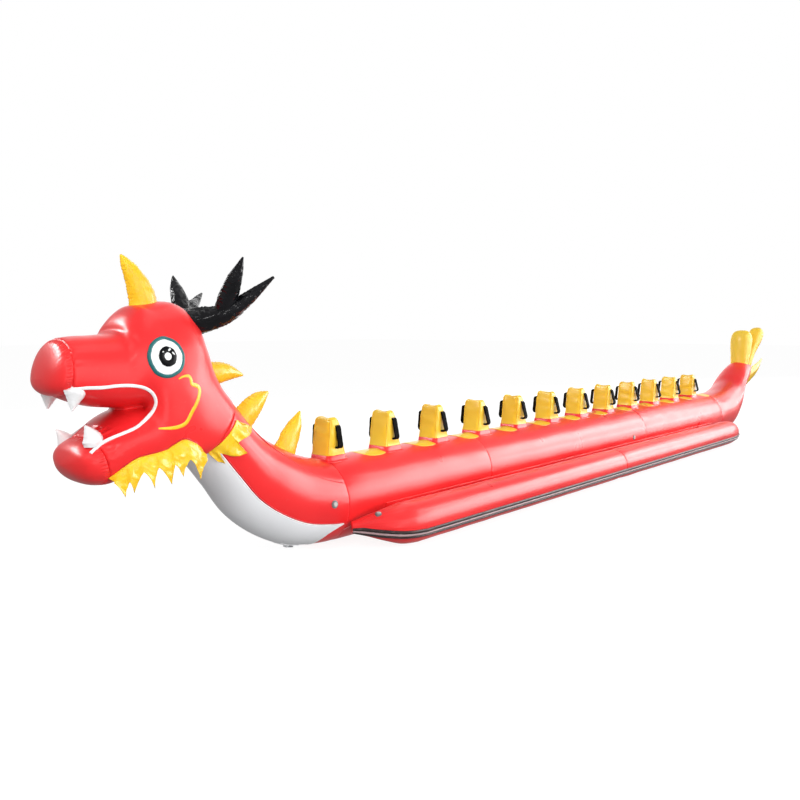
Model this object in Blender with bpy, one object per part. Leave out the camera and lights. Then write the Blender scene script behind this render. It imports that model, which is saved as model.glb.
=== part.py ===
"""Inflatable towed banana boat with a dragon head, twelve riders long.

Metres, +X to the bow, +Y to port, +Z up, the floor at z = 0. Places along the boat are
stations: metres aft of the first grip block's centre.
"""

import math

import bmesh
import bpy
from mathutils import Vector

# Driving dimensions
FIRST_BLOCK_X = 3.4925
GAP = 0.0003
HULL_RADIUS = 0.300
HULL_SIDES = 32
HULL_AXIS = HULL_RADIUS * math.cos(math.pi / HULL_SIDES)
HULL_SEAMS = (-0.07, 1.64, 4.71, 7.10)
PONTOON_RADIUS = 0.150
PONTOON_SIDES = 24
PONTOON_AXIS = PONTOON_RADIUS * math.cos(math.pi / PONTOON_SIDES)
PONTOON_OFFSET = 0.510
BLOCK_COUNT = 12
BLOCK_PITCH = 0.600

# Colours: red, green, blue
RED = (0.90, 0.045, 0.05)
YELLOW = (0.95, 0.55, 0.04)
WHITE = (0.85, 0.85, 0.86)
BLACK = (0.012, 0.012, 0.014)
DARK_RUBBER = (0.045, 0.028, 0.026)
VALVE_GREY = (0.62, 0.62, 0.62)
STEEL = (0.55, 0.56, 0.58)

# Neck side profile: back station and height, belly station and height, half width
NECK_SECTIONS = (
    (HULL_SEAMS[0], HULL_AXIS + HULL_RADIUS, HULL_SEAMS[0], HULL_AXIS - HULL_RADIUS, HULL_RADIUS),
    (-0.200, 0.622, -0.230, 0.014, 0.298),
    (-0.350, 0.668, -0.450, 0.060, 0.292),
    (-0.500, 0.742, -0.680, 0.175, 0.285),
    (-0.640, 0.825, -0.860, 0.320, 0.272),
    (-0.770, 0.935, -1.010, 0.520, 0.262),
    (-0.900, 1.085, -1.185, 0.745, 0.255),
)

# Skull side profile: same columns, from the neck seam to the upright plane at the mouth's back
MOUTH_STATION = -1.515
SKULL_SECTIONS = (
    (-0.9004, 1.0854, -1.1854, 0.7454, 0.256),
    (-0.985, 1.190, -1.270, 0.742, 0.262),
    (-1.044, 1.310, -1.360, 0.735, 0.268),
    (-1.088, 1.450, -1.430, 0.726, 0.275),
    (-1.150, 1.590, -1.475, 0.718, 0.282),
    (-1.290, 1.676, -1.500, 0.712, 0.285),
    (MOUTH_STATION, 1.650, MOUTH_STATION, 0.710, 0.278),
)

# Jaws and their front caps: upper station and height, lower station and height, half width
UPPER_JAW_SECTIONS = (
    (MOUTH_STATION, 1.650, MOUTH_STATION, 1.088, 0.278),
    (-1.575, 1.608, -1.585, 1.082, 0.268),
    (-1.614, 1.560, -1.650, 1.082, 0.255),
    (-1.652, 1.500, -1.710, 1.088, 0.240),
    (-1.760, 1.484, -1.790, 1.098, 0.228),
    (-1.860, 1.480, -1.880, 1.125, 0.214),
    (-1.953, 1.470, -1.963, 1.160, 0.202),
)
NOSE_SECTIONS = (
    (-1.953, 1.470, -1.963, 1.160, 0.202),
    (-1.972, 1.438, -2.004, 1.176, 0.192),
    (-1.990, 1.388, -2.032, 1.190, 0.170),
    (-2.012, 1.330, -2.046, 1.212, 0.128),
)
LOWER_JAW_SECTIONS = (
    (MOUTH_STATION, 1.083, MOUTH_STATION, 0.710, 0.278),
    (-1.600, 1.072, -1.580, 0.700, 0.270),
    (-1.690, 1.035, -1.650, 0.688, 0.255),
    (-1.770, 0.985, -1.710, 0.674, 0.238),
    (-1.838, 0.937, -1.758, 0.663, 0.224),
)
CHIN_SECTIONS = (
    (-1.838, 0.937, -1.758, 0.663, 0.224),
    (-1.885, 0.905, -1.830, 0.680, 0.210),
    (-1.920, 0.875, -1.885, 0.705, 0.185),
    (-1.935, 0.840, -1.920, 0.745, 0.130),
)

# Tail trunk: upper station and height, lower station and height, half width
TRUNK_SECTIONS = (
    (HULL_SEAMS[3], HULL_AXIS + HULL_RADIUS, HULL_SEAMS[3], HULL_AXIS - HULL_RADIUS, HULL_RADIUS),
    (7.450, 0.602, 7.500, 0.013, 0.296),
    (7.720, 0.632, 7.800, 0.060, 0.285),
    (8.040, 0.720, 7.985, 0.200, 0.262),
    (8.235, 0.830, 8.070, 0.370, 0.240),
    (8.395, 0.925, 8.230, 0.530, 0.215),
    (8.500, 0.975, 8.530, 0.690, 0.190),
    (8.585, 1.000, 8.790, 0.845, 0.155),
)

# Pontoon path: station, offset from the centre line, height, radius
PONTOON_NOSE = (
    (-0.065, 0.308, 0.146, 0.038),
    (0.020, 0.372, 0.152, 0.072),
    (0.120, 0.450, 0.155, 0.112),
    (0.220, 0.500, 0.154, 0.142),
    (0.340, PONTOON_OFFSET, PONTOON_AXIS + 0.0005, PONTOON_RADIUS),
)
PONTOON_STERN = (
    (6.400, PONTOON_OFFSET, PONTOON_AXIS + 0.0005, PONTOON_RADIUS),
    (6.620, PONTOON_OFFSET - 0.002, PONTOON_AXIS + 0.0005, 0.1485),
    (6.740, PONTOON_OFFSET - 0.010, PONTOON_AXIS + 0.001, 0.139),
    (6.830, PONTOON_OFFSET - 0.022, PONTOON_AXIS + 0.002, 0.116),
    (6.885, PONTOON_OFFSET - 0.035, PONTOON_AXIS + 0.004, 0.082),
    (6.910, PONTOON_OFFSET - 0.045, PONTOON_AXIS + 0.006, 0.040),
)
STRAKE_ANGLE = math.radians(115)
STRAKE_WIDTH = 0.070
STRAKE_PROUD = 0.012
WEB_STATIONS = (0.300, 6.700)
WEB_THICKNESS = 0.016

# Spines and horn on the centre line: station, offset, height, reach sideways, reach lengthwise
HORN_ROWS = (
    (-1.430, 0.0, 1.580, 0.060, 0.090),
    (-1.445, 0.0, 1.700, 0.055, 0.082),
    (-1.490, 0.0, 1.800, 0.042, 0.060),
    (-1.540, 0.0, 1.880, 0.025, 0.035),
    (-1.578, 0.0, 1.935, 0.004, 0.005),
)
NECK_SPIKES = (
    ((-1.080, 0.0, 1.240, 0.040, 0.065), (-0.930, 0.0, 1.245, 0.036, 0.055),
     (-0.830, 0.0, 1.240, 0.024, 0.034), (-0.735, 0.0, 1.220, 0.004, 0.005)),
    ((-0.800, 0.0, 0.870, 0.050, 0.080), (-0.700, 0.0, 0.980, 0.042, 0.068),
     (-0.610, 0.0, 1.050, 0.028, 0.042), (-0.532, 0.0, 1.098, 0.006, 0.008)),
    ((-0.430, 0.0, 0.620, 0.055, 0.095), (-0.360, 0.0, 0.760, 0.046, 0.072),
     (-0.300, 0.0, 0.860, 0.032, 0.045), (-0.253, 0.0, 0.949, 0.005, 0.006)),
)

# Antler stem and branch: station, offset, height, radius twice
ANTLER_STEM = (
    (-1.240, 0.060, 1.555, 0.072, 0.072),
    (-1.100, 0.140, 1.572, 0.071, 0.071),
    (-0.991, 0.220, 1.624, 0.060, 0.060),
    (-0.900, 0.290, 1.706, 0.040, 0.040),
    (-0.776, 0.370, 1.827, 0.007, 0.007),
)
ANTLER_BRANCH = (
    (-1.035, 0.190, 1.610, 0.046, 0.046),
    (-1.020, 0.250, 1.720, 0.042, 0.042),
    (-1.009, 0.310, 1.830, 0.029, 0.029),
    (-0.997, 0.360, 1.932, 0.005, 0.005),
)
STARBOARD_ANTLER_DROOP = 0.080

# Teeth: station, height, radius; the offset from the centre line is the same for all
TOOTH_OFFSET = 0.155
UPPER_TOOTH = ((-1.925, 1.250, 0.048), (-1.928, 1.190, 0.052), (-1.945, 1.140, 0.030), (-1.957, 1.088, 0.004))
LOWER_TOOTH = {
    "port": ((-1.800, 0.850, 0.045), (-1.815, 0.910, 0.050), (-1.850, 0.965, 0.028), (-1.885, 1.015, 0.004)),
    "starboard": ((-1.790, 0.860, 0.045), (-1.825, 0.905, 0.048), (-1.880, 0.938, 0.028), (-1.925, 0.965, 0.004)),
}

# Eye: a disc on the side of the head
EYE_CENTRE = (-1.458, 0.258, 1.362)
EYE_RADIUS = 0.114
EYE_TILT = math.radians(14)

# Beard frill: station, height of its welded edge, height of its jagged edge, offset of the face
BEARD_ROWS = (
    (-1.807, 0.722, 0.706, 0.225),
    (-1.746, 0.768, 0.659, 0.238),
    (-1.718, 0.783, 0.709, 0.244),
    (-1.671, 0.808, 0.637, 0.252),
    (-1.631, 0.824, 0.746, 0.260),
    (-1.561, 0.832, 0.647, 0.270),
    (-1.539, 0.834, 0.761, 0.272),
    (-1.461, 0.845, 0.654, 0.276),
    (-1.445, 0.855, 0.765, 0.276),
    (-1.376, 0.888, 0.688, 0.274),
    (-1.340, 0.890, 0.780, 0.272),
    (-1.266, 0.855, 0.651, 0.266),
    (-1.215, 0.812, 0.760, 0.260),
)
BEARD_ROOT = 0.070

# Collar frill on each side of the neck: place along the neck's table and degrees from its back,
# first at the head's seam, then at the jagged edge
COLLAR_ROWS = (
    (5.985, 134.5, 5.900, 135.0),
    (5.980, 131.0, 5.600, 131.0),
    (5.970, 128.0, 5.470, 125.0),
    (5.960, 124.0, 5.740, 122.0),
    (5.950, 114.0, 5.530, 113.0),
    (5.935, 104.0, 5.360, 103.0),
    (5.920, 96.0, 5.200, 90.0),
    (5.910, 90.0, 5.550, 92.0),
    (5.900, 83.0, 5.440, 79.0),
    (5.890, 76.0, 5.240, 60.0),
    (5.885, 71.0, 5.150, 44.0),
    (5.880, 67.0, 5.620, 64.0),
)

# Belly panel on the neck: place along the neck's table, half angle from the keel in degrees
BELLY_ROWS = (
    (0.30, 65),
    (1.60, 64),
    (2.80, 62),
    (4.40, 60),
    (5.92, 58),
)
BELLY_KEEL_START = 1.12
BELLY_POINT_POWER = 5
BELLY_PROUD = 0.004
BELLY_COLUMNS = 10
BELLY_STEPS = 4

# Tow ring on the belly: place along the neck's table, D-ring and its webbing tab
TOW_PLACE = 1.75
TOW_PATCH_PLACES = (1.45, 2.15)
TOW_PATCH_DEGREES = 10
TOW_PATCH_PROUD = 0.008
TOW_WIRE = 0.004
TOW_RING_HALF_WIDTH = 0.030
TOW_RING_LENGTH = 0.052
TOW_RING_LEAN = math.radians(4)
TOW_BAR_OUT = 0.0155
TOW_TAB_HALF_WIDTH = 0.020
TOW_TAB_HALF_LENGTH = 0.010
TOW_TAB_OUT = 0.0225

# Grip block: height, shift aft, half length, half width
BLOCK_ROWS = (
    (0.540, 0.016, 0.092, 0.092),
    (0.614, 0.014, 0.086, 0.090),
    (0.740, 0.006, 0.064, 0.089),
    (0.850, -0.002, 0.043, 0.087),
    (0.876, -0.004, 0.036, 0.081),
    (0.888, -0.005, 0.026, 0.070),
)
BLOCK_SIDES = 12
BLOCK_FULLNESS = 8.0
HANDLE_WIDTH = 0.048
HANDLE_THICKNESS = 0.010
HANDLE_STATION = 0.018
HANDLE_BOW = (0.032, 0.036, 0.042, 0.046, 0.046, 0.046, 0.046, 0.046, 0.046, 0.046, 0.046, 0.046)
# Handle strap: height, distance out from the centre line, share of the bow added to it
HANDLE_ROWS = (
    (0.664, 0.060, 0.0),
    (0.664, 0.090, 0.55),
    (0.678, 0.088, 1.0),
    (0.752, 0.088, 0.56),
    (0.822, 0.088, 0.14),
    (0.829, 0.060, 0.0),
)

# Tail petals and spurs: station, offset, height, reach sideways, reach lengthwise
TAIL_PETAL_CENTRE = (
    (8.580, 0.0, 0.900, 0.120, 0.060),
    (8.620, 0.0, 1.080, 0.145, 0.085),
    (8.640, 0.0, 1.280, 0.155, 0.085),
    (8.650, 0.0, 1.410, 0.125, 0.065),
    (8.655, 0.0, 1.470, 0.065, 0.035),
)
TAIL_PETAL_AFT = (
    (8.735, 0.060, 0.840, 0.040, 0.045),
    (8.850, 0.080, 1.110, 0.058, 0.052),
    (8.940, 0.100, 1.320, 0.080, 0.058),
    (8.985, 0.112, 1.440, 0.082, 0.050),
    (9.000, 0.116, 1.498, 0.045, 0.028),
)
TAIL_SPUR = (
    (8.620, 0.080, 0.740, 0.040, 0.110),
    (8.770, 0.140, 0.840, 0.040, 0.085),
    (8.890, 0.175, 0.930, 0.028, 0.048),
    (9.000, 0.200, 1.030, 0.006, 0.008),
)

# Valves: name, station, offset, height and the direction each faces (offset, height)
VALVES = (
    ("valve_neck", -0.216, 0.262, 0.330, 1.0, 0.08),
    ("valve_hull", 4.370, 0.262, 0.305, 1.0, 0.02),
    ("valve_pontoon_port", 0.060, 0.444, 0.205, 0.10, 0.97),
    ("valve_pontoon_starboard", 0.060, -0.444, 0.205, -0.10, 0.97),
)
VALVE_RADIUS = 0.026
VALVE_DEPTH = 0.050


def place(station, offset, height):
    """A point from its station aft of the first block, its offset to port and its height."""
    return Vector((FIRST_BLOCK_X - station, offset, height))


def clear_scene():
    for old in list(bpy.data.objects):
        bpy.data.objects.remove(old, do_unlink=True)


def make_material(name, colour, roughness, metallic=0.0):
    material = bpy.data.materials.new(name)
    material.use_nodes = True
    shader = material.node_tree.nodes["Principled BSDF"]
    shader.inputs["Base Color"].default_value = (*colour, 1.0)
    shader.inputs["Roughness"].default_value = roughness
    shader.inputs["Metallic"].default_value = metallic
    return material


def body_from_rings(name, rings, material, closed_loop=False):
    """A closed body skinned over rings of equal length, its ends capped flat."""
    work = bmesh.new()
    loops = [[work.verts.new(point) for point in ring] for ring in rings]
    spans = list(zip(loops, loops[1:]))
    if closed_loop:
        spans.append((loops[-1], loops[0]))
    for near, far in spans:
        for here in range(len(near)):
            after = (here + 1) % len(near)
            work.faces.new((near[here], near[after], far[after], far[here]))
    if not closed_loop:
        work.faces.new(loops[0])
        work.faces.new(loops[-1])
    bmesh.ops.recalc_face_normals(work, faces=work.faces[:])
    bmesh.ops.triangulate(work, faces=work.faces[:])
    mesh = bpy.data.meshes.new(name)
    work.to_mesh(mesh)
    work.free()
    mesh.materials.append(material)
    mesh.shade_smooth()
    mesh.set_sharp_from_angle(angle=math.radians(40))
    body = bpy.data.objects.new(name, mesh)
    bpy.context.collection.objects.link(body)
    return body


def row_at(rows, place_in_table):
    """A Catmull-Rom row at a fractional place in the table."""
    last = len(rows) - 1
    index = min(int(place_in_table), last - 1)
    t = place_in_table - index
    four = [rows[min(max(index + shift, 0), last)] for shift in (-1, 0, 1, 2)]
    return tuple(
        0.5 * (2 * b + (c - a) * t + (2 * a - 5 * b + 4 * c - d) * t * t
               + (3 * b - a - 3 * c + d) * t ** 3)
        for a, b, c, d in zip(*four))


def smooth_rows(rows, steps):
    """Rows through the table's rows, with this many steps between two of them."""
    count = (len(rows) - 1) * steps
    return [row_at(rows, index / steps) for index in range(count + 1)]


def signed_power(value, power):
    return math.copysign(abs(value) ** power, value)


class Section:
    """A cross-section between an upper and a lower point of the side profile.

    waist is where it is widest, as a share of the way up. The fullness of its upper and lower
    part is the exponent of a superellipse: 2 is round, more is squarer.
    """

    def __init__(self, row, waist=0.5, upper_fullness=2.0, lower_fullness=2.0):
        self.upper = place(row[0], 0.0, row[1])
        self.lower = place(row[2], 0.0, row[3])
        self.half_width = row[4]
        self.middle = self.lower.lerp(self.upper, waist)
        self.upper_power = 2.0 / upper_fullness
        self.lower_power = 2.0 / lower_fullness

    def point(self, angle, proud=0.0):
        """The outline's point at an angle from its top, towards port, moved out by proud."""
        up_share = math.cos(angle)
        end = self.upper if up_share >= 0 else self.lower
        power = self.upper_power if up_share >= 0 else self.lower_power
        reach = end - self.middle
        length = reach.length
        along = reach.normalized() * ((length + proud) * abs(up_share) ** power)
        across = signed_power(math.sin(angle), power) * (self.half_width + proud)
        return self.middle + along + Vector((0.0, across, 0.0))

    def ring(self, sides):
        return [self.point(math.tau * (side + 0.5) / sides) for side in range(sides)]


def loft(name, rows, material, sides=24, steps=2, **shape):
    rings = [Section(row, **shape).ring(sides) for row in smooth_rows(rows, steps)]
    return body_from_rings(name, rings, material)


class TubeFrame:
    """A tube's centre and the two directions of its cross-section at one place on its path."""

    def __init__(self, centre, tangent, side):
        self.centre = centre
        self.out = (side - tangent * side.dot(tangent)).normalized()
        self.up = self.out.cross(tangent).normalized()

    def point(self, angle, reach_out, reach_up):
        return self.centre + self.out * (reach_out * math.sin(angle)) \
            + self.up * (reach_up * math.cos(angle))


def tube_frames(rows, side):
    """A frame at every row; a row starts with station, offset and height."""
    centres = [place(*row[:3]) for row in rows]
    frames = []
    for index, centre in enumerate(centres):
        before = centres[max(index - 1, 0)]
        after = centres[min(index + 1, len(centres) - 1)]
        frames.append(TubeFrame(centre, (after - before).normalized(), side))
    return frames


def tapered_tube(name, rows, material, side, sides=12, steps=2, hidden=False):
    """A round-sectioned body; rows hold station, offset, height, reach sideways, reach across."""
    smooth = smooth_rows(rows, steps)
    rings = []
    for row, frame in zip(smooth, tube_frames(smooth, side)):
        rings.append([frame.point(math.tau * (k + 0.5) / sides, row[3], row[4]) for k in range(sides)])
    body = body_from_rings(name, rings, material)
    if hidden:
        hide(body)
    return body


def hide(body):
    body.hide_render = True
    body.display_type = "WIRE"


def boolean(body, other, operation):
    modifier = body.modifiers.new(operation.lower(), "BOOLEAN")
    modifier.operation = operation
    modifier.solver = "EXACT"
    modifier.object = other


def swollen(carrier):
    """A hidden copy of a body, grown by the gap that keeps seated pieces clear of it."""
    name = carrier.name + "_clearance"
    if name in bpy.data.objects:
        return bpy.data.objects[name]
    copy = bpy.data.objects.new(name, carrier.data.copy())
    for vertex, normal in zip(copy.data.vertices, carrier.data.vertex_normals):
        vertex.co += normal.vector * (GAP * 1.3)
    bpy.context.collection.objects.link(copy)
    hide(copy)
    return copy


def seat(piece, *carriers):
    """Cut a piece's foot to the bodies that carry it, a hair's gap clear of them."""
    for carrier in carriers:
        boolean(piece, swollen(carrier), "DIFFERENCE")


def build_hull(paint):
    """The main tube in three lengths, split at its ring seams."""
    names = ("hull_tube_front", "hull_tube_middle", "hull_tube_aft")
    tubes = []
    for name, start, end in zip(names, HULL_SEAMS, HULL_SEAMS[1:]):
        rings = []
        for station in (start + GAP, end):
            row = (station, HULL_AXIS + HULL_RADIUS, station, HULL_AXIS - HULL_RADIUS, HULL_RADIUS)
            rings.append(Section(row).ring(HULL_SIDES))
        tubes.append(body_from_rings(name, rings, paint["red"]))
    return tubes


def moved_aft(rows, shift):
    return [(row[0] + shift, row[1], row[2] + shift, row[3], row[4]) for row in rows]


def build_head(paint):
    """Skull, jaws and their front caps, a hair's gap between each and the next."""
    red = paint["red"]
    skull = loft("head_skull", SKULL_SECTIONS, red, waist=0.44, upper_fullness=2.3, lower_fullness=2.8)
    upper = loft("upper_jaw", moved_aft(UPPER_JAW_SECTIONS, -GAP), red, waist=0.35,
                 upper_fullness=2.4, lower_fullness=2.2)
    nose = loft("nose_block", moved_aft(NOSE_SECTIONS, -2 * GAP), red, waist=0.40,
                upper_fullness=2.5, lower_fullness=2.4)
    lower = loft("lower_jaw", moved_aft(LOWER_JAW_SECTIONS, -GAP), red, waist=0.55,
                 upper_fullness=2.2, lower_fullness=2.6)
    chin = loft("chin_block", moved_aft(CHIN_SECTIONS, -2 * GAP), red, waist=0.55,
                upper_fullness=2.4, lower_fullness=2.6)
    return skull, upper, nose, lower, chin


def build_belly_panel(paint, neck):
    """The pale panel wrapped under the neck, its lower end cut to a point on each side."""
    rings = []
    first, last = BELLY_ROWS[0][0], BELLY_ROWS[-1][0]
    for row in smooth_rows(BELLY_ROWS, BELLY_STEPS):
        span = (row[0] - first) / (last - first)
        inner = []
        outer = []
        for column in range(BELLY_COLUMNS + 1):
            share = 2 * column / BELLY_COLUMNS - 1
            start = BELLY_KEEL_START + (first - BELLY_KEEL_START) * abs(share) ** BELLY_POINT_POWER
            section = Section(row_at(NECK_SECTIONS, start + (last - start) * span))
            angle = math.pi + share * math.radians(row[1])
            inner.append(section.point(angle, -0.020))
            outer.append(section.point(angle, BELLY_PROUD))
        rings.append(inner + outer[::-1])
    panel = body_from_rings("belly_panel", rings, paint["white"])
    seat(panel, neck)
    return panel


def build_tow_fittings(paint, *carriers):
    """A D-ring trapped in a webbing tab on a patch under the bow."""
    rings = []
    for step in range(5):
        first, last = TOW_PATCH_PLACES
        section = Section(row_at(NECK_SECTIONS, first + (last - first) * step / 4))
        angles = [math.pi + math.radians(TOW_PATCH_DEGREES) * share for share in (-1.0, -0.33, 0.33, 1.0)]
        rings.append([section.point(angle, -0.010) for angle in angles]
                     + [section.point(angle, TOW_PATCH_PROUD) for angle in reversed(angles)])
    patch = body_from_rings("tow_patch", rings, paint["white"])
    section = Section(row_at(NECK_SECTIONS, TOW_PLACE))
    foot = section.point(math.pi, 0.0)
    out = (section.point(math.pi, 0.1) - foot).normalized()
    across = Vector((0.0, 1.0, 0.0))
    aft = out.cross(across)
    aft = aft if aft.x < 0 else -aft
    tab = body_from_rings("tow_tab", [
        [foot + across * side * TOW_TAB_HALF_WIDTH + aft * ahead + out * reach
         for ahead, reach in ((-TOW_TAB_HALF_LENGTH, 0.0), (-TOW_TAB_HALF_LENGTH, TOW_TAB_OUT),
                              (TOW_TAB_HALF_LENGTH, TOW_TAB_OUT), (TOW_TAB_HALF_LENGTH, 0.0))]
        for side in (-1, 1)], paint["black"])
    hide(tab)
    boolean(patch, tab, "UNION")
    seat(patch, *carriers)
    bar = foot + out * TOW_BAR_OUT
    lean = aft * math.cos(TOW_RING_LEAN) + out * math.sin(TOW_RING_LEAN)
    path = [(0.35, 0.0), (0.8, 0.0), (1.0, 0.12), (1.0, 0.4), (0.9, 0.72), (0.55, 0.94), (0.0, 1.0)]
    path = [(0.0, 0.0)] + path + [(-share, length) for share, length in reversed(path[:-1])]
    points = [bar + across * share * TOW_RING_HALF_WIDTH + lean * length * TOW_RING_LENGTH
              for share, length in path]
    normal = across.cross(lean)
    loops = []
    for index, point in enumerate(points):
        along = (points[(index + 1) % len(points)] - points[index - 1]).normalized()
        sideways = along.cross(normal)
        loops.append([point + (sideways * math.cos(math.tau * k / 8) + normal * math.sin(math.tau * k / 8))
                      * TOW_WIRE for k in range(8)])
    ring = body_from_rings("tow_ring", loops, paint["steel"], closed_loop=True)
    drill = body_from_rings("tow_bar_hole", [
        [bar + across * side * 1.5 * TOW_TAB_HALF_WIDTH + (aft * math.cos(math.tau * (k + 0.5) / 12)
                                                           + out * math.sin(math.tau * (k + 0.5) / 12))
         * (TOW_WIRE + 0.0008) for k in range(12)] for side in (-1, 1)], paint["black"])
    hide(drill)
    boolean(patch, drill, "DIFFERENCE")
    return ring


def pontoon_frames(side):
    rows = smooth_rows(PONTOON_NOSE, 2) + smooth_rows(PONTOON_STERN, 1)
    rows = [(row[0], side * row[1], row[2], row[3]) for row in rows]
    return list(zip(rows, tube_frames(rows, Vector((0.0, side, 0.0)))))


def build_pontoon(label, side, paint, bow_bodies):
    """A side tube with its nose bent in to the hull, and the rub strake round it."""
    rings = []
    band = []
    for row, frame in pontoon_frames(side):
        radius = row[3]
        rings.append([frame.point(math.tau * (k + 0.5) / PONTOON_SIDES, radius, radius)
                      for k in range(PONTOON_SIDES)])
        half = 0.5 * STRAKE_WIDTH / radius
        middle = STRAKE_ANGLE if side > 0 else math.pi - STRAKE_ANGLE
        section = []
        for turn, reach in ((-half, -0.015), (-half, STRAKE_PROUD), (0.0, STRAKE_PROUD),
                            (half, STRAKE_PROUD), (half, -0.015), (0.0, -0.015)):
            section.append(frame.point(middle + turn, radius + reach, radius + reach))
        band.append(section)
    pontoon = body_from_rings("pontoon_" + label, rings, paint["red"])
    seat(pontoon, *bow_bodies)
    strake = body_from_rings("rub_strake_" + label, band, paint["dark_rubber"])
    seat(strake, pontoon, *bow_bodies)
    return pontoon


def build_web(label, side, paint, neighbours):
    """The welded strip that joins a pontoon to the hull."""
    across = Vector((0.0, side * PONTOON_OFFSET, PONTOON_AXIS - HULL_AXIS)).normalized()
    thick = Vector((0.0, -across.z, across.y)) * (0.5 * WEB_THICKNESS)
    reach = math.hypot(PONTOON_OFFSET, PONTOON_AXIS - HULL_AXIS) - PONTOON_RADIUS
    rings = []
    for station in WEB_STATIONS:
        axis = place(station, 0.0, HULL_AXIS)
        near = axis + across * (HULL_RADIUS - 0.015)
        far = axis + across * (reach + 0.015)
        rings.append([near - thick, near + thick, far + thick, far - thick])
    web = body_from_rings("joining_web_" + label, rings, paint["red"])
    seat(web, *neighbours)


def mirrored(rows, side, droop=0.0):
    """Rows put on one side of the boat, let down more the further up the piece they are."""
    low, high = rows[0][2], rows[-1][2]
    return [(row[0], side * row[1], row[2] - droop * (row[2] - low) / (high - low), *row[3:]) for row in rows]


def build_antler(label, side, droop, paint, skull):
    across = Vector((0.0, 1.0, 0.0))
    stem = tapered_tube("antler_" + label, mirrored(ANTLER_STEM, side, droop), paint["black"], across, sides=10)
    fall = droop * (ANTLER_BRANCH[0][2] - ANTLER_STEM[0][2]) / (ANTLER_STEM[-1][2] - ANTLER_STEM[0][2])
    branch_rows = [(row[0], row[1], row[2] - fall, *row[3:]) for row in ANTLER_BRANCH]
    branch = tapered_tube("antler_branch_" + label, mirrored(branch_rows, side, droop - fall),
                          paint["black"], across, sides=10, steps=2, hidden=True)
    boolean(stem, branch, "UNION")
    seat(stem, skull)


def build_tooth(name, rows, side, paint, *gums):
    path = [(station, side * TOOTH_OFFSET, height, radius, radius) for station, height, radius in rows]
    tooth = tapered_tube(name, path, paint["white"], Vector((0.0, 1.0, 0.0)), sides=10, steps=2)
    seat(tooth, *gums)


def build_eye(label, side, paint, *carriers):
    """A shallow disc on the side of the head, tilted to its surface."""
    station, offset, height = EYE_CENTRE
    out = Vector((0.0, side * math.cos(EYE_TILT), math.sin(EYE_TILT)))
    rows = []
    for reach, radius in ((-0.060, EYE_RADIUS), (0.012, EYE_RADIUS), (0.022, EYE_RADIUS - 0.016)):
        rows.append((station, side * offset + out.y * reach, height + out.z * reach, radius, radius))
    eye = tapered_tube("eye_" + label, rows, paint["white"], Vector((1.0, 0.0, 0.0)), sides=24, steps=1)
    seat(eye, *carriers)


def build_beard(label, side, paint, *carriers):
    """A jagged frill welded along the jaw's side, hanging free below the weld."""
    rings = []
    for station, top, bottom, offset in BEARD_ROWS:
        rings.append([place(station, side * (offset - BEARD_ROOT), top), place(station, side * offset, top),
                      place(station, side * (offset + 0.010), bottom), place(station, side * offset, bottom)])
    frill = body_from_rings("beard_frill_" + label, rings, paint["yellow"])
    seat(frill, *carriers)


def build_collar(label, side, paint, *carriers):
    """A jagged frill that lies on one side of the neck, welded at the head's seam."""
    rings = []
    for root_place, root_degrees, tip_place, tip_degrees in COLLAR_ROWS:
        root = Section(row_at(NECK_SECTIONS, root_place))
        tip = Section(row_at(NECK_SECTIONS, tip_place))
        root_angle = side * math.radians(root_degrees)
        tip_angle = side * math.radians(tip_degrees)
        rings.append([root.point(root_angle, -0.010), root.point(root_angle, 0.016),
                      tip.point(tip_angle, 0.016), tip.point(tip_angle, -0.010)])
    frill = body_from_rings("collar_frill_" + label, rings, paint["yellow"])
    seat(frill, *carriers)
    return frill


def block_outline(station, height, shift_aft, half_length, half_width):
    power = 2.0 / BLOCK_FULLNESS
    ring = []
    for corner in range(BLOCK_SIDES):
        angle = math.tau * (corner + 0.5) / BLOCK_SIDES
        ring.append(place(station + shift_aft - signed_power(math.cos(angle), power) * half_length,
                          signed_power(math.sin(angle), power) * half_width, height))
    return ring


def build_handle(station, side, bow, paint, name):
    """One strap bowed out from a side face of a grip block, both ends inside the block."""
    half = 0.5 * HANDLE_WIDTH
    path = [place(station + HANDLE_STATION, side * (out + share * bow), height)
            for height, out, share in HANDLE_ROWS]
    lengthwise = Vector((half, 0.0, 0.0))
    rings = []
    for index, point in enumerate(path):
        along = (path[min(index + 1, len(path) - 1)] - path[max(index - 1, 0)]).normalized()
        thick = along.cross(Vector((1.0, 0.0, 0.0))) * (0.5 * HANDLE_THICKNESS)
        rings.append([point - lengthwise - thick, point - lengthwise + thick,
                      point + lengthwise + thick, point + lengthwise - thick])
    handle = body_from_rings(name, rings, paint["black"])
    hide(handle)
    return handle


def build_grip_blocks(paint, hull):
    for index in range(BLOCK_COUNT):
        station = index * BLOCK_PITCH
        name = "grip_block_%02d" % (index + 1)
        rings = [block_outline(station, *row) for row in BLOCK_ROWS]
        block = body_from_rings(name, rings, paint["yellow"])
        carriers = [tube for tube, start, end in zip(hull, HULL_SEAMS, HULL_SEAMS[1:])
                    if start - 0.1 < station < end + 0.1]
        if station < HULL_SEAMS[0] + 0.1:
            carriers.append(bpy.data.objects["neck_tube"])
        seat(block, *carriers)
        for side in (1, -1):
            label = "port" if side > 0 else "starboard"
            handle = build_handle(station, side, HANDLE_BOW[index], paint, "%s_handle_%s" % (name, label))
            boolean(block, handle, "UNION")


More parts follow.
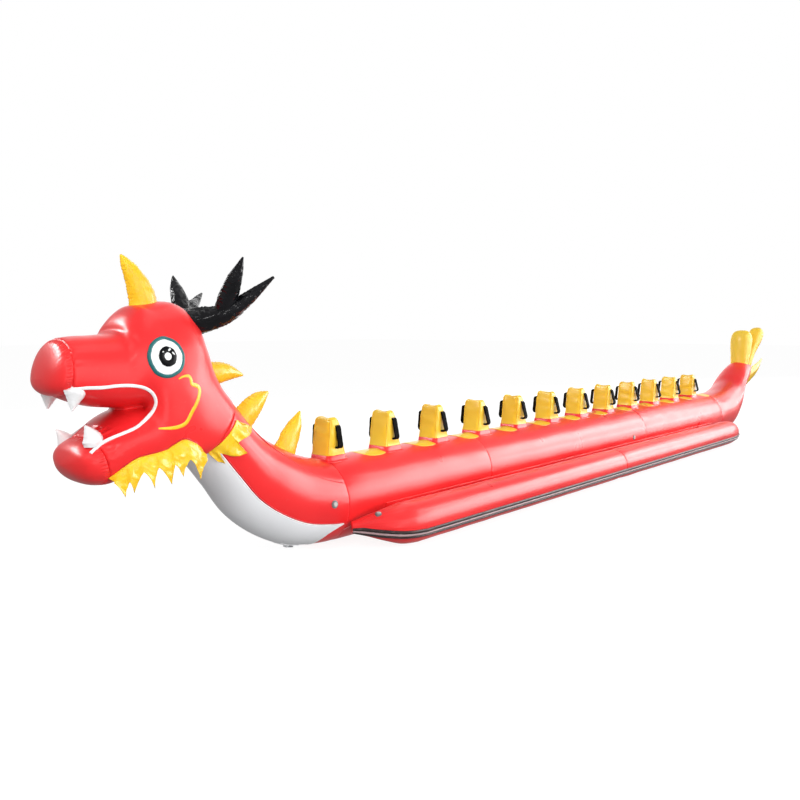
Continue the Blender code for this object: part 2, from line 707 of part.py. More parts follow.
def build_tail(paint, trunk):
    across = Vector((0.0, 1.0, 0.0))
    centre = tapered_tube("tail_petal_centre", TAIL_PETAL_CENTRE, paint["yellow"], across, sides=14, steps=2)
    seat(centre, trunk)
    for label, side in (("port", 1), ("starboard", -1)):
        petal = tapered_tube("tail_petal_" + label, mirrored(TAIL_PETAL_AFT, side), paint["yellow"], across,
                             sides=12, steps=2)
        seat(petal, trunk, centre)
        spur = tapered_tube("tail_spur_" + label, mirrored(TAIL_SPUR, side), paint["yellow"], across,
                            sides=10, steps=2)
        seat(spur, trunk, petal)


def build_valves(paint, carriers):
    for name, station, offset, height, facing_out, facing_up in VALVES:
        facing = Vector((0.0, facing_out, facing_up)).normalized()
        foot = place(station, offset, height)
        rows = []
        for reach, radius in ((0.0, VALVE_RADIUS), (VALVE_DEPTH, VALVE_RADIUS)):
            point = foot + facing * reach
            rows.append((FIRST_BLOCK_X - point.x, point.y, point.z, radius, radius))
        valve = tapered_tube(name, rows, paint["valve"], Vector((1.0, 0.0, 0.0)), sides=16, steps=1)
        seat(valve, *carriers[name])


def main():
    clear_scene()
    paint = {
        "red": make_material("red_pvc", RED, 0.22),
        "yellow": make_material("yellow_pvc", YELLOW, 0.25),
        "white": make_material("white_pvc", WHITE, 0.3),
        "black": make_material("black_vinyl", BLACK, 0.2),
        "dark_rubber": make_material("dark_rubber", DARK_RUBBER, 0.5),
        "valve": make_material("valve_plastic", VALVE_GREY, 0.4),
        "steel": make_material("ring_steel", STEEL, 0.3, 1.0),
    }
    hull = build_hull(paint)
    neck = loft("neck_tube", NECK_SECTIONS, paint["red"], sides=HULL_SIDES)
    trunk = loft("tail_trunk", moved_aft(TRUNK_SECTIONS, GAP), paint["red"], sides=HULL_SIDES)
    skull, upper, nose, lower, chin = build_head(paint)
    panel = build_belly_panel(paint, neck)
    build_tow_fittings(paint, neck, panel)
    collars = [build_collar(label, side, paint, skull, panel, neck)
               for label, side in (("port", 1), ("starboard", -1))]
    across = Vector((0.0, 1.0, 0.0))
    seat(tapered_tube("horn", HORN_ROWS, paint["yellow"], across), skull, upper)
    for number, rows in enumerate(NECK_SPIKES, start=1):
        spike = tapered_tube("neck_spike_%d" % number, rows, paint["yellow"], across, sides=10)
        seat(spike, neck, skull, *collars)
    pontoons = {}
    for label, side in (("port", 1), ("starboard", -1)):
        pontoon = build_pontoon(label, side, paint, (hull[0], neck))
        build_web(label, side, paint, (*hull, pontoon))
        pontoons[label] = pontoon
        build_antler(label, side, 0.0 if side > 0 else STARBOARD_ANTLER_DROOP, paint, skull)
        build_tooth("tooth_upper_" + label, UPPER_TOOTH, side, paint, upper, nose)
        build_tooth("tooth_lower_" + label, LOWER_TOOTH[label], side, paint, lower, chin)
        build_eye(label, side, paint, skull, upper)
        build_beard(label, side, paint, skull, lower, chin)
    build_grip_blocks(paint, hull)
    build_tail(paint, trunk)
    build_valves(paint, {
        "valve_neck": (neck,),
        "valve_hull": (hull[1],),
        "valve_pontoon_port": (pontoons["port"],),
        "valve_pontoon_starboard": (pontoons["starboard"],),
    })


main()
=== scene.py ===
"""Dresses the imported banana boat: welded PVC tubes, dragon head, padded grip blocks and trim.

Metres, +X to the bow, +Y to port, +Z up. Stations are metres aft of the first grip block's centre.
"""

import math

import bmesh
import bpy
import numpy as np
from mathutils import Matrix, Vector
from mathutils.bvhtree import BVHTree


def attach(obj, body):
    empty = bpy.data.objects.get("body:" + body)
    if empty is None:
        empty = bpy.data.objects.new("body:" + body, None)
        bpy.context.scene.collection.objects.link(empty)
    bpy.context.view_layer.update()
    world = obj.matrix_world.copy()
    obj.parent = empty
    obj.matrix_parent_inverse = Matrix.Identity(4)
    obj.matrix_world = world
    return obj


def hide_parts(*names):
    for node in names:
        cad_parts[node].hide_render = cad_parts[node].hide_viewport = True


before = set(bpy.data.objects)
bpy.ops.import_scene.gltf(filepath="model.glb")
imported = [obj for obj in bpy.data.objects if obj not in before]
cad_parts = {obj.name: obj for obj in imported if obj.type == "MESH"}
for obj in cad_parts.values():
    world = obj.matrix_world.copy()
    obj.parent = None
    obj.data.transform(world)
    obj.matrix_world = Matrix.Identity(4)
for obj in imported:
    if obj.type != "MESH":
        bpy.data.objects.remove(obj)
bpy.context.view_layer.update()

FIRST_BLOCK_X = 3.4925
HULL_AXIS = 0.2986
HULL_RADIUS = 0.300
HULL_SEAMS = (-0.07, 1.64, 4.71, 7.10)
PONTOON_RADIUS = 0.150
PONTOON_AXIS = 0.1487
PONTOON_OFFSET = 0.510
PONTOON_SEAM = 3.470
BLOCK_COUNT = 12
BLOCK_PITCH = 0.600
MOUTH = -1.515
STARBOARD_DROOP = 0.080
TAU = math.tau
SIDES = (("port", 1), ("starboard", -1))

# Tables shared with the CAD. A side profile has the station and height of its upper edge, those of its lower
# edge, and its half width. A tube has a station, an offset to port, a height, a half width and a half depth.

NECK = (
    (-0.070, 0.5986, -0.070, -0.0014, 0.300),
    (-0.200, 0.622, -0.230, 0.014, 0.298),
    (-0.350, 0.668, -0.450, 0.060, 0.292),
    (-0.500, 0.742, -0.680, 0.175, 0.285),
    (-0.640, 0.825, -0.860, 0.320, 0.272),
    (-0.770, 0.935, -1.010, 0.520, 0.262),
    (-0.900, 1.085, -1.185, 0.745, 0.255),
)
SKULL = (
    (-0.9004, 1.0854, -1.1854, 0.7454, 0.256),
    (-0.985, 1.190, -1.270, 0.742, 0.262),
    (-1.044, 1.310, -1.360, 0.735, 0.268),
    (-1.088, 1.450, -1.430, 0.726, 0.275),
    (-1.150, 1.590, -1.475, 0.718, 0.282),
    (-1.290, 1.676, -1.500, 0.712, 0.285),
    (MOUTH, 1.650, MOUTH, 0.710, 0.278),
)
UPPER_JAW = (
    (MOUTH, 1.650, MOUTH, 1.088, 0.278),
    (-1.575, 1.608, -1.585, 1.082, 0.268),
    (-1.614, 1.560, -1.650, 1.082, 0.255),
    (-1.652, 1.500, -1.710, 1.088, 0.240),
    (-1.760, 1.484, -1.790, 1.098, 0.228),
    (-1.860, 1.480, -1.880, 1.125, 0.214),
    (-1.953, 1.470, -1.963, 1.160, 0.202),
)
NOSE = (
    (-1.953, 1.470, -1.963, 1.160, 0.202),
    (-1.980, 1.440, -2.006, 1.170, 0.187),
    (-2.004, 1.397, -2.030, 1.186, 0.158),
    (-2.026, 1.346, -2.044, 1.208, 0.118),
)
LOWER_JAW = (
    (MOUTH, 1.083, MOUTH, 0.710, 0.278),
    (-1.600, 1.072, -1.580, 0.700, 0.270),
    (-1.690, 1.035, -1.650, 0.688, 0.255),
    (-1.770, 0.985, -1.710, 0.674, 0.238),
    (-1.838, 0.937, -1.758, 0.663, 0.224),
)
CHIN = (
    (-1.838, 0.937, -1.758, 0.663, 0.224),
    (-1.885, 0.908, -1.826, 0.674, 0.208),
    (-1.918, 0.878, -1.876, 0.698, 0.178),
    (-1.936, 0.845, -1.914, 0.735, 0.126),
)
NOSE_TIP = ((-2.040, 1.304, -2.050, 1.232, 0.072), (-2.047, 1.276, -2.051, 1.256, 0.026))
CHIN_TIP = ((-1.944, 0.822, -1.936, 0.768, 0.070), (-1.947, 0.802, -1.945, 0.788, 0.020))
TRUNK = (
    (7.100, 0.5986, 7.100, -0.0014, 0.300),
    (7.450, 0.602, 7.500, 0.013, 0.296),
    (7.720, 0.632, 7.800, 0.060, 0.285),
    (8.040, 0.720, 7.985, 0.200, 0.262),
    (8.235, 0.830, 8.070, 0.370, 0.240),
    (8.395, 0.925, 8.230, 0.530, 0.215),
    (8.500, 0.975, 8.530, 0.690, 0.190),
    (8.585, 1.000, 8.790, 0.845, 0.155),
)

# station, offset, height and radius

PONTOON_NOSE = (
    (-0.065, 0.308, 0.146, 0.038),
    (0.020, 0.372, 0.152, 0.072),
    (0.120, 0.450, 0.155, 0.112),
    (0.220, 0.500, 0.154, 0.142),
    (0.340, 0.510, 0.1492, 0.150),
)
PONTOON_STERN = (
    (6.400, 0.510, 0.1492, 0.150),
    (6.620, 0.508, 0.1492, 0.1485),
    (6.740, 0.500, 0.1497, 0.139),
    (6.830, 0.488, 0.1507, 0.116),
    (6.885, 0.475, 0.1527, 0.082),
    (6.910, 0.465, 0.1547, 0.040),
)
PONTOON_TIP = ((6.918, 0.463, 0.1552, 0.024), (6.922, 0.462, 0.1555, 0.008))

# tubes of the horn, spikes and antlers

HORN = (
    (-1.424, 0.0, 1.580, 0.060, 0.090),
    (-1.438, 0.0, 1.700, 0.055, 0.082),
    (-1.481, 0.0, 1.800, 0.042, 0.060),
    (-1.529, 0.0, 1.878, 0.025, 0.035),
    (-1.564, 0.0, 1.930, 0.004, 0.005),
)
SPIKES = (
    ((-1.080, 0.0, 1.235, 0.042, 0.072), (-0.930, 0.0, 1.243, 0.040, 0.066),
     (-0.830, 0.0, 1.240, 0.028, 0.042), (-0.735, 0.0, 1.220, 0.004, 0.005)),
    ((-0.800, 0.0, 0.870, 0.052, 0.084), (-0.700, 0.0, 0.980, 0.048, 0.080),
     (-0.610, 0.0, 1.050, 0.034, 0.056), (-0.532, 0.0, 1.098, 0.006, 0.008)),
    ((-0.430, 0.0, 0.620, 0.055, 0.094), (-0.360, 0.0, 0.760, 0.050, 0.080),
     (-0.300, 0.0, 0.860, 0.036, 0.054), (-0.253, 0.0, 0.949, 0.005, 0.006)),
)
ANTLER_STEM = (
    (-1.240, 0.060, 1.555, 0.072, 0.072),
    (-1.100, 0.140, 1.572, 0.071, 0.071),
    (-0.991, 0.220, 1.624, 0.060, 0.060),
    (-0.900, 0.290, 1.706, 0.040, 0.040),
    (-0.776, 0.370, 1.827, 0.007, 0.007),
)
ANTLER_BRANCH = (
    (-1.035, 0.190, 1.610, 0.046, 0.046),
    (-1.020, 0.250, 1.720, 0.052, 0.056),
    (-1.009, 0.310, 1.830, 0.038, 0.040),
    (-0.997, 0.360, 1.932, 0.005, 0.005),
)
UPPER_TOOTH_OFFSET = 0.155
LOWER_TOOTH_OFFSET = 0.142

# station, height and radius of each tooth, from its root to its point

UPPER_TOOTH = {
    "port": ((-1.931, 1.226, 0.036), (-1.931, 1.197, 0.056), (-1.942, 1.146, 0.031), (-1.954, 1.094, 0.004)),
    "starboard": ((-1.918, 1.216, 0.036), (-1.918, 1.185, 0.056),
                  (-1.927, 1.136, 0.031), (-1.937, 1.084, 0.004)),
}
LOWER_TOOTH = {
    "port": ((-1.838, 0.898, 0.044), (-1.840, 0.934, 0.053), (-1.857, 0.974, 0.030), (-1.879, 1.012, 0.004)),
    "starboard": ((-1.835, 0.862, 0.036), (-1.843, 0.892, 0.048),
                  (-1.868, 0.932, 0.028), (-1.901, 0.970, 0.004)),
}

# station, height of the weld, height of the notch or tip below it, offset

BEARD = (
    (-1.783, 0.722, 0.703, 0.228),
    (-1.727, 0.770, 0.619, 0.238),
    (-1.701, 0.787, 0.700, 0.244),
    (-1.671, 0.808, 0.637, 0.252),
    (-1.631, 0.824, 0.746, 0.260),
    (-1.561, 0.832, 0.647, 0.270),
    (-1.539, 0.834, 0.761, 0.272),
    (-1.461, 0.845, 0.654, 0.276),
    (-1.445, 0.855, 0.765, 0.276),
    (-1.376, 0.888, 0.688, 0.274),
    (-1.340, 0.890, 0.780, 0.272),
    (-1.266, 0.855, 0.651, 0.266),
    (-1.215, 0.812, 0.760, 0.260),
)

# row of the neck's table and degrees from its top: at the weld, then at the notch or tip

COLLAR = (
    (5.985, 134.5, 5.900, 135.0),
    (5.980, 131.0, 5.600, 131.0),
    (5.970, 128.0, 5.470, 125.0),
    (5.960, 124.0, 5.740, 122.0),
    (5.950, 114.0, 5.530, 113.0),
    (5.935, 104.0, 5.360, 103.0),
    (5.920, 96.0, 5.200, 90.0),
    (5.910, 90.0, 5.550, 92.0),
    (5.900, 83.0, 5.440, 79.0),
    (5.890, 76.0, 5.240, 60.0),
    (5.885, 71.0, 5.150, 44.0),
    (5.880, 67.0, 5.620, 64.0),
)

# row of the neck's table, degrees from its keel to the panel's edge

BELLY = ((0.33, 65), (1.60, 64), (2.80, 62), (4.40, 60), (5.92, 58))
BELLY_KEEL_START = 1.12

# how far the straps of each block stand out

HANDLE_BOW = (0.032, 0.036, 0.042, 0.046, 0.046, 0.046, 0.046, 0.046, 0.046, 0.046, 0.046, 0.046)

# tubes of the tail

TAIL_PETAL_CENTRE = (
    (8.580, 0.0, 0.900, 0.120, 0.060),
    (8.620, 0.0, 1.080, 0.140, 0.082),
    (8.640, 0.0, 1.250, 0.154, 0.088),
    (8.650, 0.0, 1.355, 0.151, 0.086),
    (8.655, 0.0, 1.418, 0.126, 0.074),
    (8.656, 0.0, 1.450, 0.086, 0.052),
    (8.656, 0.0, 1.463, 0.044, 0.028),
    (8.656, 0.0, 1.466, 0.014, 0.010),
)
TAIL_PETAL_AFT = (
    (8.735, 0.060, 0.840, 0.040, 0.045),
    (8.850, 0.080, 1.110, 0.058, 0.055),
    (8.935, 0.100, 1.300, 0.094, 0.074),
    (8.975, 0.108, 1.415, 0.106, 0.078),
    (8.990, 0.111, 1.474, 0.082, 0.058),
    (8.995, 0.112, 1.500, 0.044, 0.030),
    (8.996, 0.112, 1.507, 0.014, 0.010),
)
TAIL_SPUR = (
    (8.620, 0.080, 0.740, 0.040, 0.110),
    (8.770, 0.140, 0.840, 0.040, 0.085),
    (8.890, 0.175, 0.930, 0.028, 0.048),
    (9.000, 0.200, 1.030, 0.006, 0.008),
)

# name, station, offset, height, and the way it points: to port and up

VALVES = (
    ("valve_neck", -0.216, 0.262, 0.330, 1.0, 0.08),
    ("valve_hull", 4.370, 0.262, 0.305, 1.0, 0.02),
    ("valve_pontoon_port", 0.060, 0.444, 0.205, 0.10, 0.97),
    ("valve_pontoon_starboard", 0.060, -0.444, 0.205, -0.10, 0.97),
)
EYE_CENTRE = (-1.458, 0.258, 1.362)
EYE_TILT = math.radians(14)

# number helpers


def at(station, offset, height):
    """Points from stations, offsets to port and heights."""
    x = FIRST_BLOCK_X - np.asarray(station, float)
    return np.stack(np.broadcast_arrays(x, offset, height), -1).astype(float)


def unit(vectors):
    """Vectors scaled to a length of one."""
    return vectors / np.maximum(np.linalg.norm(vectors, axis=-1, keepdims=True), 1e-12)


def catmull(rows, where):
    """Smooth rows of a table at fractional places in it."""
    rows = np.asarray(rows, float)
    last = len(rows) - 1
    where = np.atleast_1d(np.asarray(where, float))
    index = np.clip(where.astype(int), 0, last - 1)
    t = (where - index)[:, None]
    a, b, c, d = (rows[np.clip(index + shift, 0, last)] for shift in (-1, 0, 1, 2))
    bend = (2 * a - 5 * b + 4 * c - d) * t * t + (3 * b - a - 3 * c + d) * t ** 3
    return 0.5 * (2 * b + (c - a) * t + bend)


def evened(values, rounds):
    """Values along a line, each drawn towards its neighbours; both ends stay."""
    values = np.array(values, float)
    for _ in range(rounds):
        values[1:-1] = 0.25 * (values[:-2] + 2 * values[1:-1] + values[2:])
    return values


def signed_power(share, power):
    """A sine or cosine raised to a power with its sign kept, which squares off a ring."""
    return np.sign(share) * np.abs(share) ** power


def ripple(points, length, seed, waves=8):
    """Smooth noise of about unit height, made of a few plane waves."""
    rng = np.random.default_rng(seed)
    total = np.zeros(points.shape[:-1])
    for _ in range(waves):
        direction = unit(rng.normal(size=3))
        total += np.sin(points @ direction * (TAU / length * rng.uniform(0.6, 1.5)) + rng.uniform(0, TAU))
    return total / math.sqrt(waves)


def fold(points, length, seed):
    """Sharp-crested noise from 0 to 1, like the folds of slack vinyl."""
    return np.exp(-2.6 * np.abs(ripple(points, length, seed, 5)))


def section_grid(rows, angles, waist=0.5, upper=2.0, lower=2.0):
    """Rings between the edges of a side profile, measured from the top to port."""
    top = at(rows[:, 0], 0.0, rows[:, 1])[:, None, :]
    foot = at(rows[:, 2], 0.0, rows[:, 3])[:, None, :]
    middle = foot + (top - foot) * waist
    angles = np.broadcast_to(angles, (len(rows), np.shape(angles)[-1]))
    lift, out = np.cos(angles), np.sin(angles)
    reach = np.where((lift >= 0)[..., None], top - middle, foot - middle)
    power = np.where(lift >= 0, 2.0 / upper, 2.0 / lower)
    length = np.linalg.norm(reach, axis=-1)
    grid = middle + unit(reach) * (length * np.abs(lift) ** power)[..., None]
    grid[..., 1] += signed_power(out, power) * rows[:, 4:5]
    return grid


def tube_frame(rows, side=1):
    """Centres of a tube and the two directions of each of its cross-sections."""
    centres = at(rows[:, 0], rows[:, 1], rows[:, 2])
    tangent = unit(np.gradient(centres, axis=0))
    way = np.array((0.0, side, 0.0))
    out = unit(way - tangent * (tangent @ way)[:, None])
    return centres, out, unit(np.cross(out, tangent))


def tube_grid(rows, angles, side=1, fullness=2.0):
    """Rings round a tube, measured from its top to the given side."""
    centres, out, up = tube_frame(rows, side)
    power = 2.0 / fullness
    across = rows[:, 3:4] * signed_power(np.sin(angles), power)
    along = rows[:, 4:5] * signed_power(np.cos(angles), power)
    return centres[:, None] + out[:, None] * across[..., None] + up[:, None] * along[..., None]


def grid_normals(grid, wrap=True):
    """Outward normals of a grid of rings."""
    along = np.gradient(grid, axis=0)
    if wrap:
        around = np.roll(grid, -1, axis=1) - np.roll(grid, 1, axis=1)
    else:
        around = np.gradient(grid, axis=1)
    normals = unit(np.cross(along, around))
    outward = grid - grid.mean(axis=1, keepdims=True)
    if (normals * outward).sum() < 0:
        normals = -normals
    return normals


def path_run(points):
    """Distance along a line of points from the first one to each."""
    return np.concatenate(([0.0], np.cumsum(np.linalg.norm(np.diff(points, axis=0), axis=1))))


def ring_angles(sides):
    """Evenly spaced angles round a ring, none of them at its top."""
    return TAU * (np.arange(sides) + 0.5) / sides


def spaced(last, count, fine=0.10, close=6):
    """Places from 0 to last, crowded towards both ends."""
    near = fine * (np.arange(close) / close) ** 1.7
    return np.concatenate((near, np.linspace(fine, last - fine, count), last - near[::-1]))


DENT_DEPTH = 0.0070


def seam_shape(grid, seed, both_ends, dip=0.005, edge=0.006, pucker=0.0016, reach=0.035, dents=0):
    """How far each point of a tube moves out: rounded, puckered ends where it is welded to the next."""
    run = path_run(grid.mean(axis=1))
    move = np.zeros(grid.shape[:2])
    angles = ring_angles(grid.shape[1])[None, :]
    rng = np.random.default_rng(seed)
    for distance in (run, run[-1] - run) if both_ends else (run,):
        phases = rng.uniform(0, TAU, 5)
        counts = rng.integers(18, 46, 5)
        wave = sum(np.sin(counts[k] * angles + phases[k]) for k in range(5)) / 2.2
        wave = wave * (0.6 + 0.4 * np.sin(3 * angles + phases[0]))
        s = distance[:, None]
        corner = np.clip(1 - s / edge, 0, 1)
        move -= edge * (1 - np.sqrt(np.maximum(1 - corner ** 2, 0))) * 0.8
        move -= dip * np.exp(-s / reach)
        move += pucker * wave * np.exp(-s / (0.7 * reach)) * np.clip(s / 0.006, 0, 1)
        if dents:
            move -= DENT_DEPTH * np.exp(-((s - 0.016) / 0.008) ** 2) * np.clip(np.cos(dents * angles), 0, 1)
    return move


# mesh helpers


def mesh_piece(name, vertices, faces, material, slot, replaces=(), flat_angle=None):
    """A smooth-shaded piece that rides on the root; edges sharper than flat_angle degrees stay sharp."""
    mesh = bpy.data.meshes.new(name)
    mesh.from_pydata(np.asarray(vertices, float).reshape(-1, 3).tolist(), [], faces)
    work = bmesh.new()
    work.from_mesh(mesh)
    bmesh.ops.recalc_face_normals(work, faces=work.faces[:])
    work.to_mesh(mesh)
    work.free()
    mesh.shade_smooth()
    if flat_angle:
        mesh.set_sharp_from_angle(angle=math.radians(flat_angle))
    for one in material if isinstance(material, (list, tuple)) else (material,):
        mesh.materials.append(one)
    piece = bpy.data.objects.new(name, mesh)
    bpy.context.scene.collection.objects.link(piece)
    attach(piece, "root")
    if replaces:
        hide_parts(*replaces)
    return piece


def grid_faces(rings, sides, wrap=True, base=0):
    """Faces between neighbouring rings of points that are numbered from base."""
    faces = []
    for ring in range(rings - 1):
        for side in range(sides if wrap else sides - 1):
            after = (side + 1) % sides
            low = base + ring * sides
            faces.append((low + side, low + after, low + sides + after, low + sides + side))
    return faces


def closed_body(name, grid, material, slot, replaces=(), flat_angle=None):
    """A body skinned over rings, with a fan at each end."""
    rings, sides = grid.shape[:2]
    vertices = list(grid.reshape(-1, 3))
    faces = grid_faces(rings, sides)
    for ring in (0, rings - 1):
        vertices.append(grid[ring].mean(axis=0))
        centre = len(vertices) - 1
        low = ring * sides
        for side in range(sides):
            faces.append((low + side, low + (side + 1) % sides, centre))
    return mesh_piece(name, vertices, faces, material, slot, replaces, flat_angle)


def sheet_body(name, front, normals, thickness, material, slot, replaces):
    """A closed body of even thickness behind a grid."""
    rings, sides = front.shape[:2]
    count = rings * sides
    back = front - normals * thickness
    vertices = np.concatenate((front.reshape(-1, 3), back.reshape(-1, 3)))
    faces = grid_faces(rings, sides, wrap=False)
    faces += [tuple(reversed([index + count for index in face])) for face in faces]
    index = np.arange(count).reshape(rings, sides)
    rim = [*index[0], *index[1:, -1], *index[-1, -2::-1], *index[-2:0:-1, 0]]
    for here, after in zip(rim, rim[1:] + rim[:1]):
        faces.append((here, here + count, after + count, after))
    return mesh_piece(name, vertices, faces, material, slot, replaces)


def smooth_path(points, spacing=0.006):
    """Evenly spaced points on a smooth curve through the given ones."""
    points = np.asarray(points, float)
    fine = catmull(points, np.linspace(0, len(points) - 1, 40 * len(points)))
    run = path_run(fine)
    want = np.linspace(0, run[-1], max(int(run[-1] / spacing), 8) + 1)
    return np.stack([np.interp(want, run, column) for column in fine.T], 1)


def bead(name, path, normals, width, height, material, slot, sink=0.003):
    """A low rounded strip laid along a path on a surface."""
    path = np.asarray(path, float)
    normals = unit(np.asarray(normals, float))
    across = unit(np.cross(normals, unit(np.gradient(path, axis=0))))
    half = 0.5 * np.broadcast_to(np.asarray(width, float), (len(path),))[:, None]
    share = np.linspace(-1, 1, 7)
    rise = height * np.sqrt(np.maximum(1 - share ** 2, 0)) ** 0.8 - sink * (np.abs(share) > 0.99)
    upper = path[:, None] + across[:, None] * (half * share)[..., None] + normals[:, None] * rise[:, None]
    under = path[:, None] + across[:, None] * (half * share[::-1])[..., None] - normals[:, None] * sink
    return closed_body(name, np.concatenate((upper, under[:, 1:-1]), axis=1), material, slot)


class Surface:
    """A set of shown pieces that lines can be laid on."""

    def __init__(self, *pieces):
        vertices = []
        faces = []
        for piece in pieces:
            base = len(vertices)
            vertices += [vertex.co.copy() for vertex in piece.data.vertices]
            faces += [tuple(base + index for index in polygon.vertices) for polygon in piece.data.polygons]
        self.tree = BVHTree.FromPolygons(vertices, faces)

    def hit(self, start, direction):
        """The point that a ray meets and the normal that faces the ray there, or None."""
        point, normal, _, _ = self.tree.ray_cast(Vector(start), Vector(direction))
        if point is None:
            return None
        if normal.dot(Vector(direction)) > 0:
            normal = -normal
        return np.array(point), np.array(normal)

    def side_line(self, line, side, rounds):
        """Points and normals of a side-view line laid on one face; rays that miss are left out."""
        starts = at(line[:, 0], 3.0 * side, line[:, 1])
        found = [self.hit(start, (0.0, -side, 0.0)) for start in starts]
        points, normals = zip(*(pair for pair in found if pair))
        return evened(points, rounds), unit(evened(normals, rounds))


# materials


class Paint:
    """Builds a Principled material node by node."""

    def __init__(self, name):
        self.material = bpy.data.materials.new(name)
        self.material.use_nodes = True
        self.tree = self.material.node_tree
        self.shader = self.tree.nodes["Principled BSDF"]
        self.place = self.node("ShaderNodeTexCoord").outputs["Object"]

    def node(self, kind, **settings):
        """A new node of the given kind."""
        made = self.tree.nodes.new(kind)
        for key, value in settings.items():
            setattr(made, key, value)
        return made

    def link(self, output, socket):
        self.tree.links.new(output, socket)

    def noise(self, scale, detail=3.0, roughness=0.5, stretch=None):
        """Noise on the object's own coordinates, stretched along an axis where asked."""
        made = self.node("ShaderNodeTexNoise")
        made.inputs["Scale"].default_value = scale
        made.inputs["Detail"].default_value = detail
        made.inputs["Roughness"].default_value = roughness
        place = self.place
        if stretch:
            mapping = self.node("ShaderNodeMapping")
            mapping.inputs["Scale"].default_value = stretch
            self.link(self.place, mapping.inputs["Vector"])
            place = mapping.outputs["Vector"]
        self.link(place, made.inputs["Vector"])
        return made.outputs["Fac"]

    def range(self, value, low, high, to_low, to_high):
        """A value mapped from one range to another and kept inside it."""
        made = self.node("ShaderNodeMapRange")
        self.link(value, made.inputs["Value"])
        for key, number in (("From Min", low), ("From Max", high), ("To Min", to_low), ("To Max", to_high)):
            made.inputs[key].default_value = number
        return made.outputs["Result"]

    def math(self, operation, first, second):
        """One sum of two values, each a number or a node's output."""
        made = self.node("ShaderNodeMath", operation=operation)
        for socket, value in zip(made.inputs, (first, second)):
            if isinstance(value, (int, float)):
                socket.default_value = value
            else:
                self.link(value, socket)
        return made.outputs["Value"]

    def mix(self, factor, first, second):
        """A colour between two others, each a colour or a node's output."""
        made = self.node("ShaderNodeMix", data_type="RGBA")
        for socket, value in ((made.inputs[0], factor), (made.inputs[6], first), (made.inputs[7], second)):
            if isinstance(value, (int, float)):
                socket.default_value = value
            elif isinstance(value, tuple):
                socket.default_value = (*value, 1.0)
            else:
                self.link(value, socket)
        return made.outputs[2]

    def height_mask(self, low, high):
        """1 below the height low, 0 above the height high."""
        split = self.node("ShaderNodeSeparateXYZ")
        self.link(self.place, split.inputs[0])
        return self.range(split.outputs["Z"], low, high, 1.0, 0.0)

    def weave(self, pitch):
        """The fabric's scrim: crossed ribs of the given pitch."""
        scale = self.node("ShaderNodeVectorMath", operation="SCALE")
        scale.inputs["Scale"].default_value = TAU / pitch
        self.link(self.place, scale.inputs[0])
        sine = self.node("ShaderNodeVectorMath", operation="SINE")
        self.link(scale.outputs[0], sine.inputs[0])
        split = self.node("ShaderNodeSeparateXYZ")
        self.link(sine.outputs[0], split.inputs[0])
        across = self.math("ADD", split.outputs["Y"], split.outputs["Z"])
        return self.math("MULTIPLY", split.outputs["X"], across)

    def bump(self, *layers):
        """Bumps stacked on each other: each is a height, its strength and its distance."""
        below = None
        for height, strength, distance in layers:
            made = self.node("ShaderNodeBump")
            made.inputs["Strength"].default_value = strength
            made.inputs["Distance"].default_value = distance
            self.link(height, made.inputs["Height"])
            if below is not None:
                self.link(below, made.inputs["Normal"])
            below = made.outputs["Normal"]
        self.link(below, self.shader.inputs["Normal"])

    def colour(self, output):
        """Takes the base colour from a node's output."""
        self.link(output, self.shader.inputs["Base Color"])

    def grain(self, noise, low, high):
        """Roughness that follows a noise, from low to high."""
        self.link(self.range(noise, 0.3, 0.7, low, high), self.shader.inputs["Roughness"])

    def set(self, **sockets):
        """Constants for the shader's own sockets, with underscores for the spaces in their names."""
        for key, value in sockets.items():
            self.shader.inputs[key.replace("_", " ")].default_value = value


def pvc(name, colour, dark, light, roughness=0.30, wrinkle=0.25, gloss=0.4, scuff=(0.55, 0.45, 0.42)):
    """Glossy welded tarpaulin with faint tonal drift, soft creases and dust near the floor."""
    paint = Paint(name)
    drift = paint.range(paint.noise(1.1, 2.0), 0.35, 0.68, 0.0, 1.0)
    tone = paint.mix(drift, dark, light)
    blotch = paint.range(paint.noise(9.0, 4.0), 0.30, 0.75, 0.0, 0.15)
    tone = paint.mix(blotch, tone, colour)
    dust_noise = paint.range(paint.noise(14.0, 6.0, 0.7), 0.40, 0.80, 0.0, 0.16)
    dust = paint.math("MULTIPLY", dust_noise, paint.height_mask(0.01, 0.14))
    speck = paint.range(paint.noise(55.0, 3.0, 0.6), 0.62, 0.80, 0.0, 0.05)
    tone = paint.mix(speck, tone, scuff)
    paint.colour(paint.mix(dust, tone, scuff))
    rough = paint.range(paint.noise(5.0, 2.0), 0.25, 0.75, roughness - 0.03, roughness + 0.04)
    paint.link(paint.math("ADD", rough, paint.math("MULTIPLY", dust, 0.35)), paint.shader.inputs["Roughness"])
    paint.bump((paint.noise(3.2, 3.0, 0.45), wrinkle, 0.010), (paint.noise(26.0, 4.0, 0.55), 0.16, 0.002))
    paint.set(Coat_Weight=0.3 * gloss, Coat_Roughness=0.14, Specular_IOR_Level=gloss)
    return paint.material


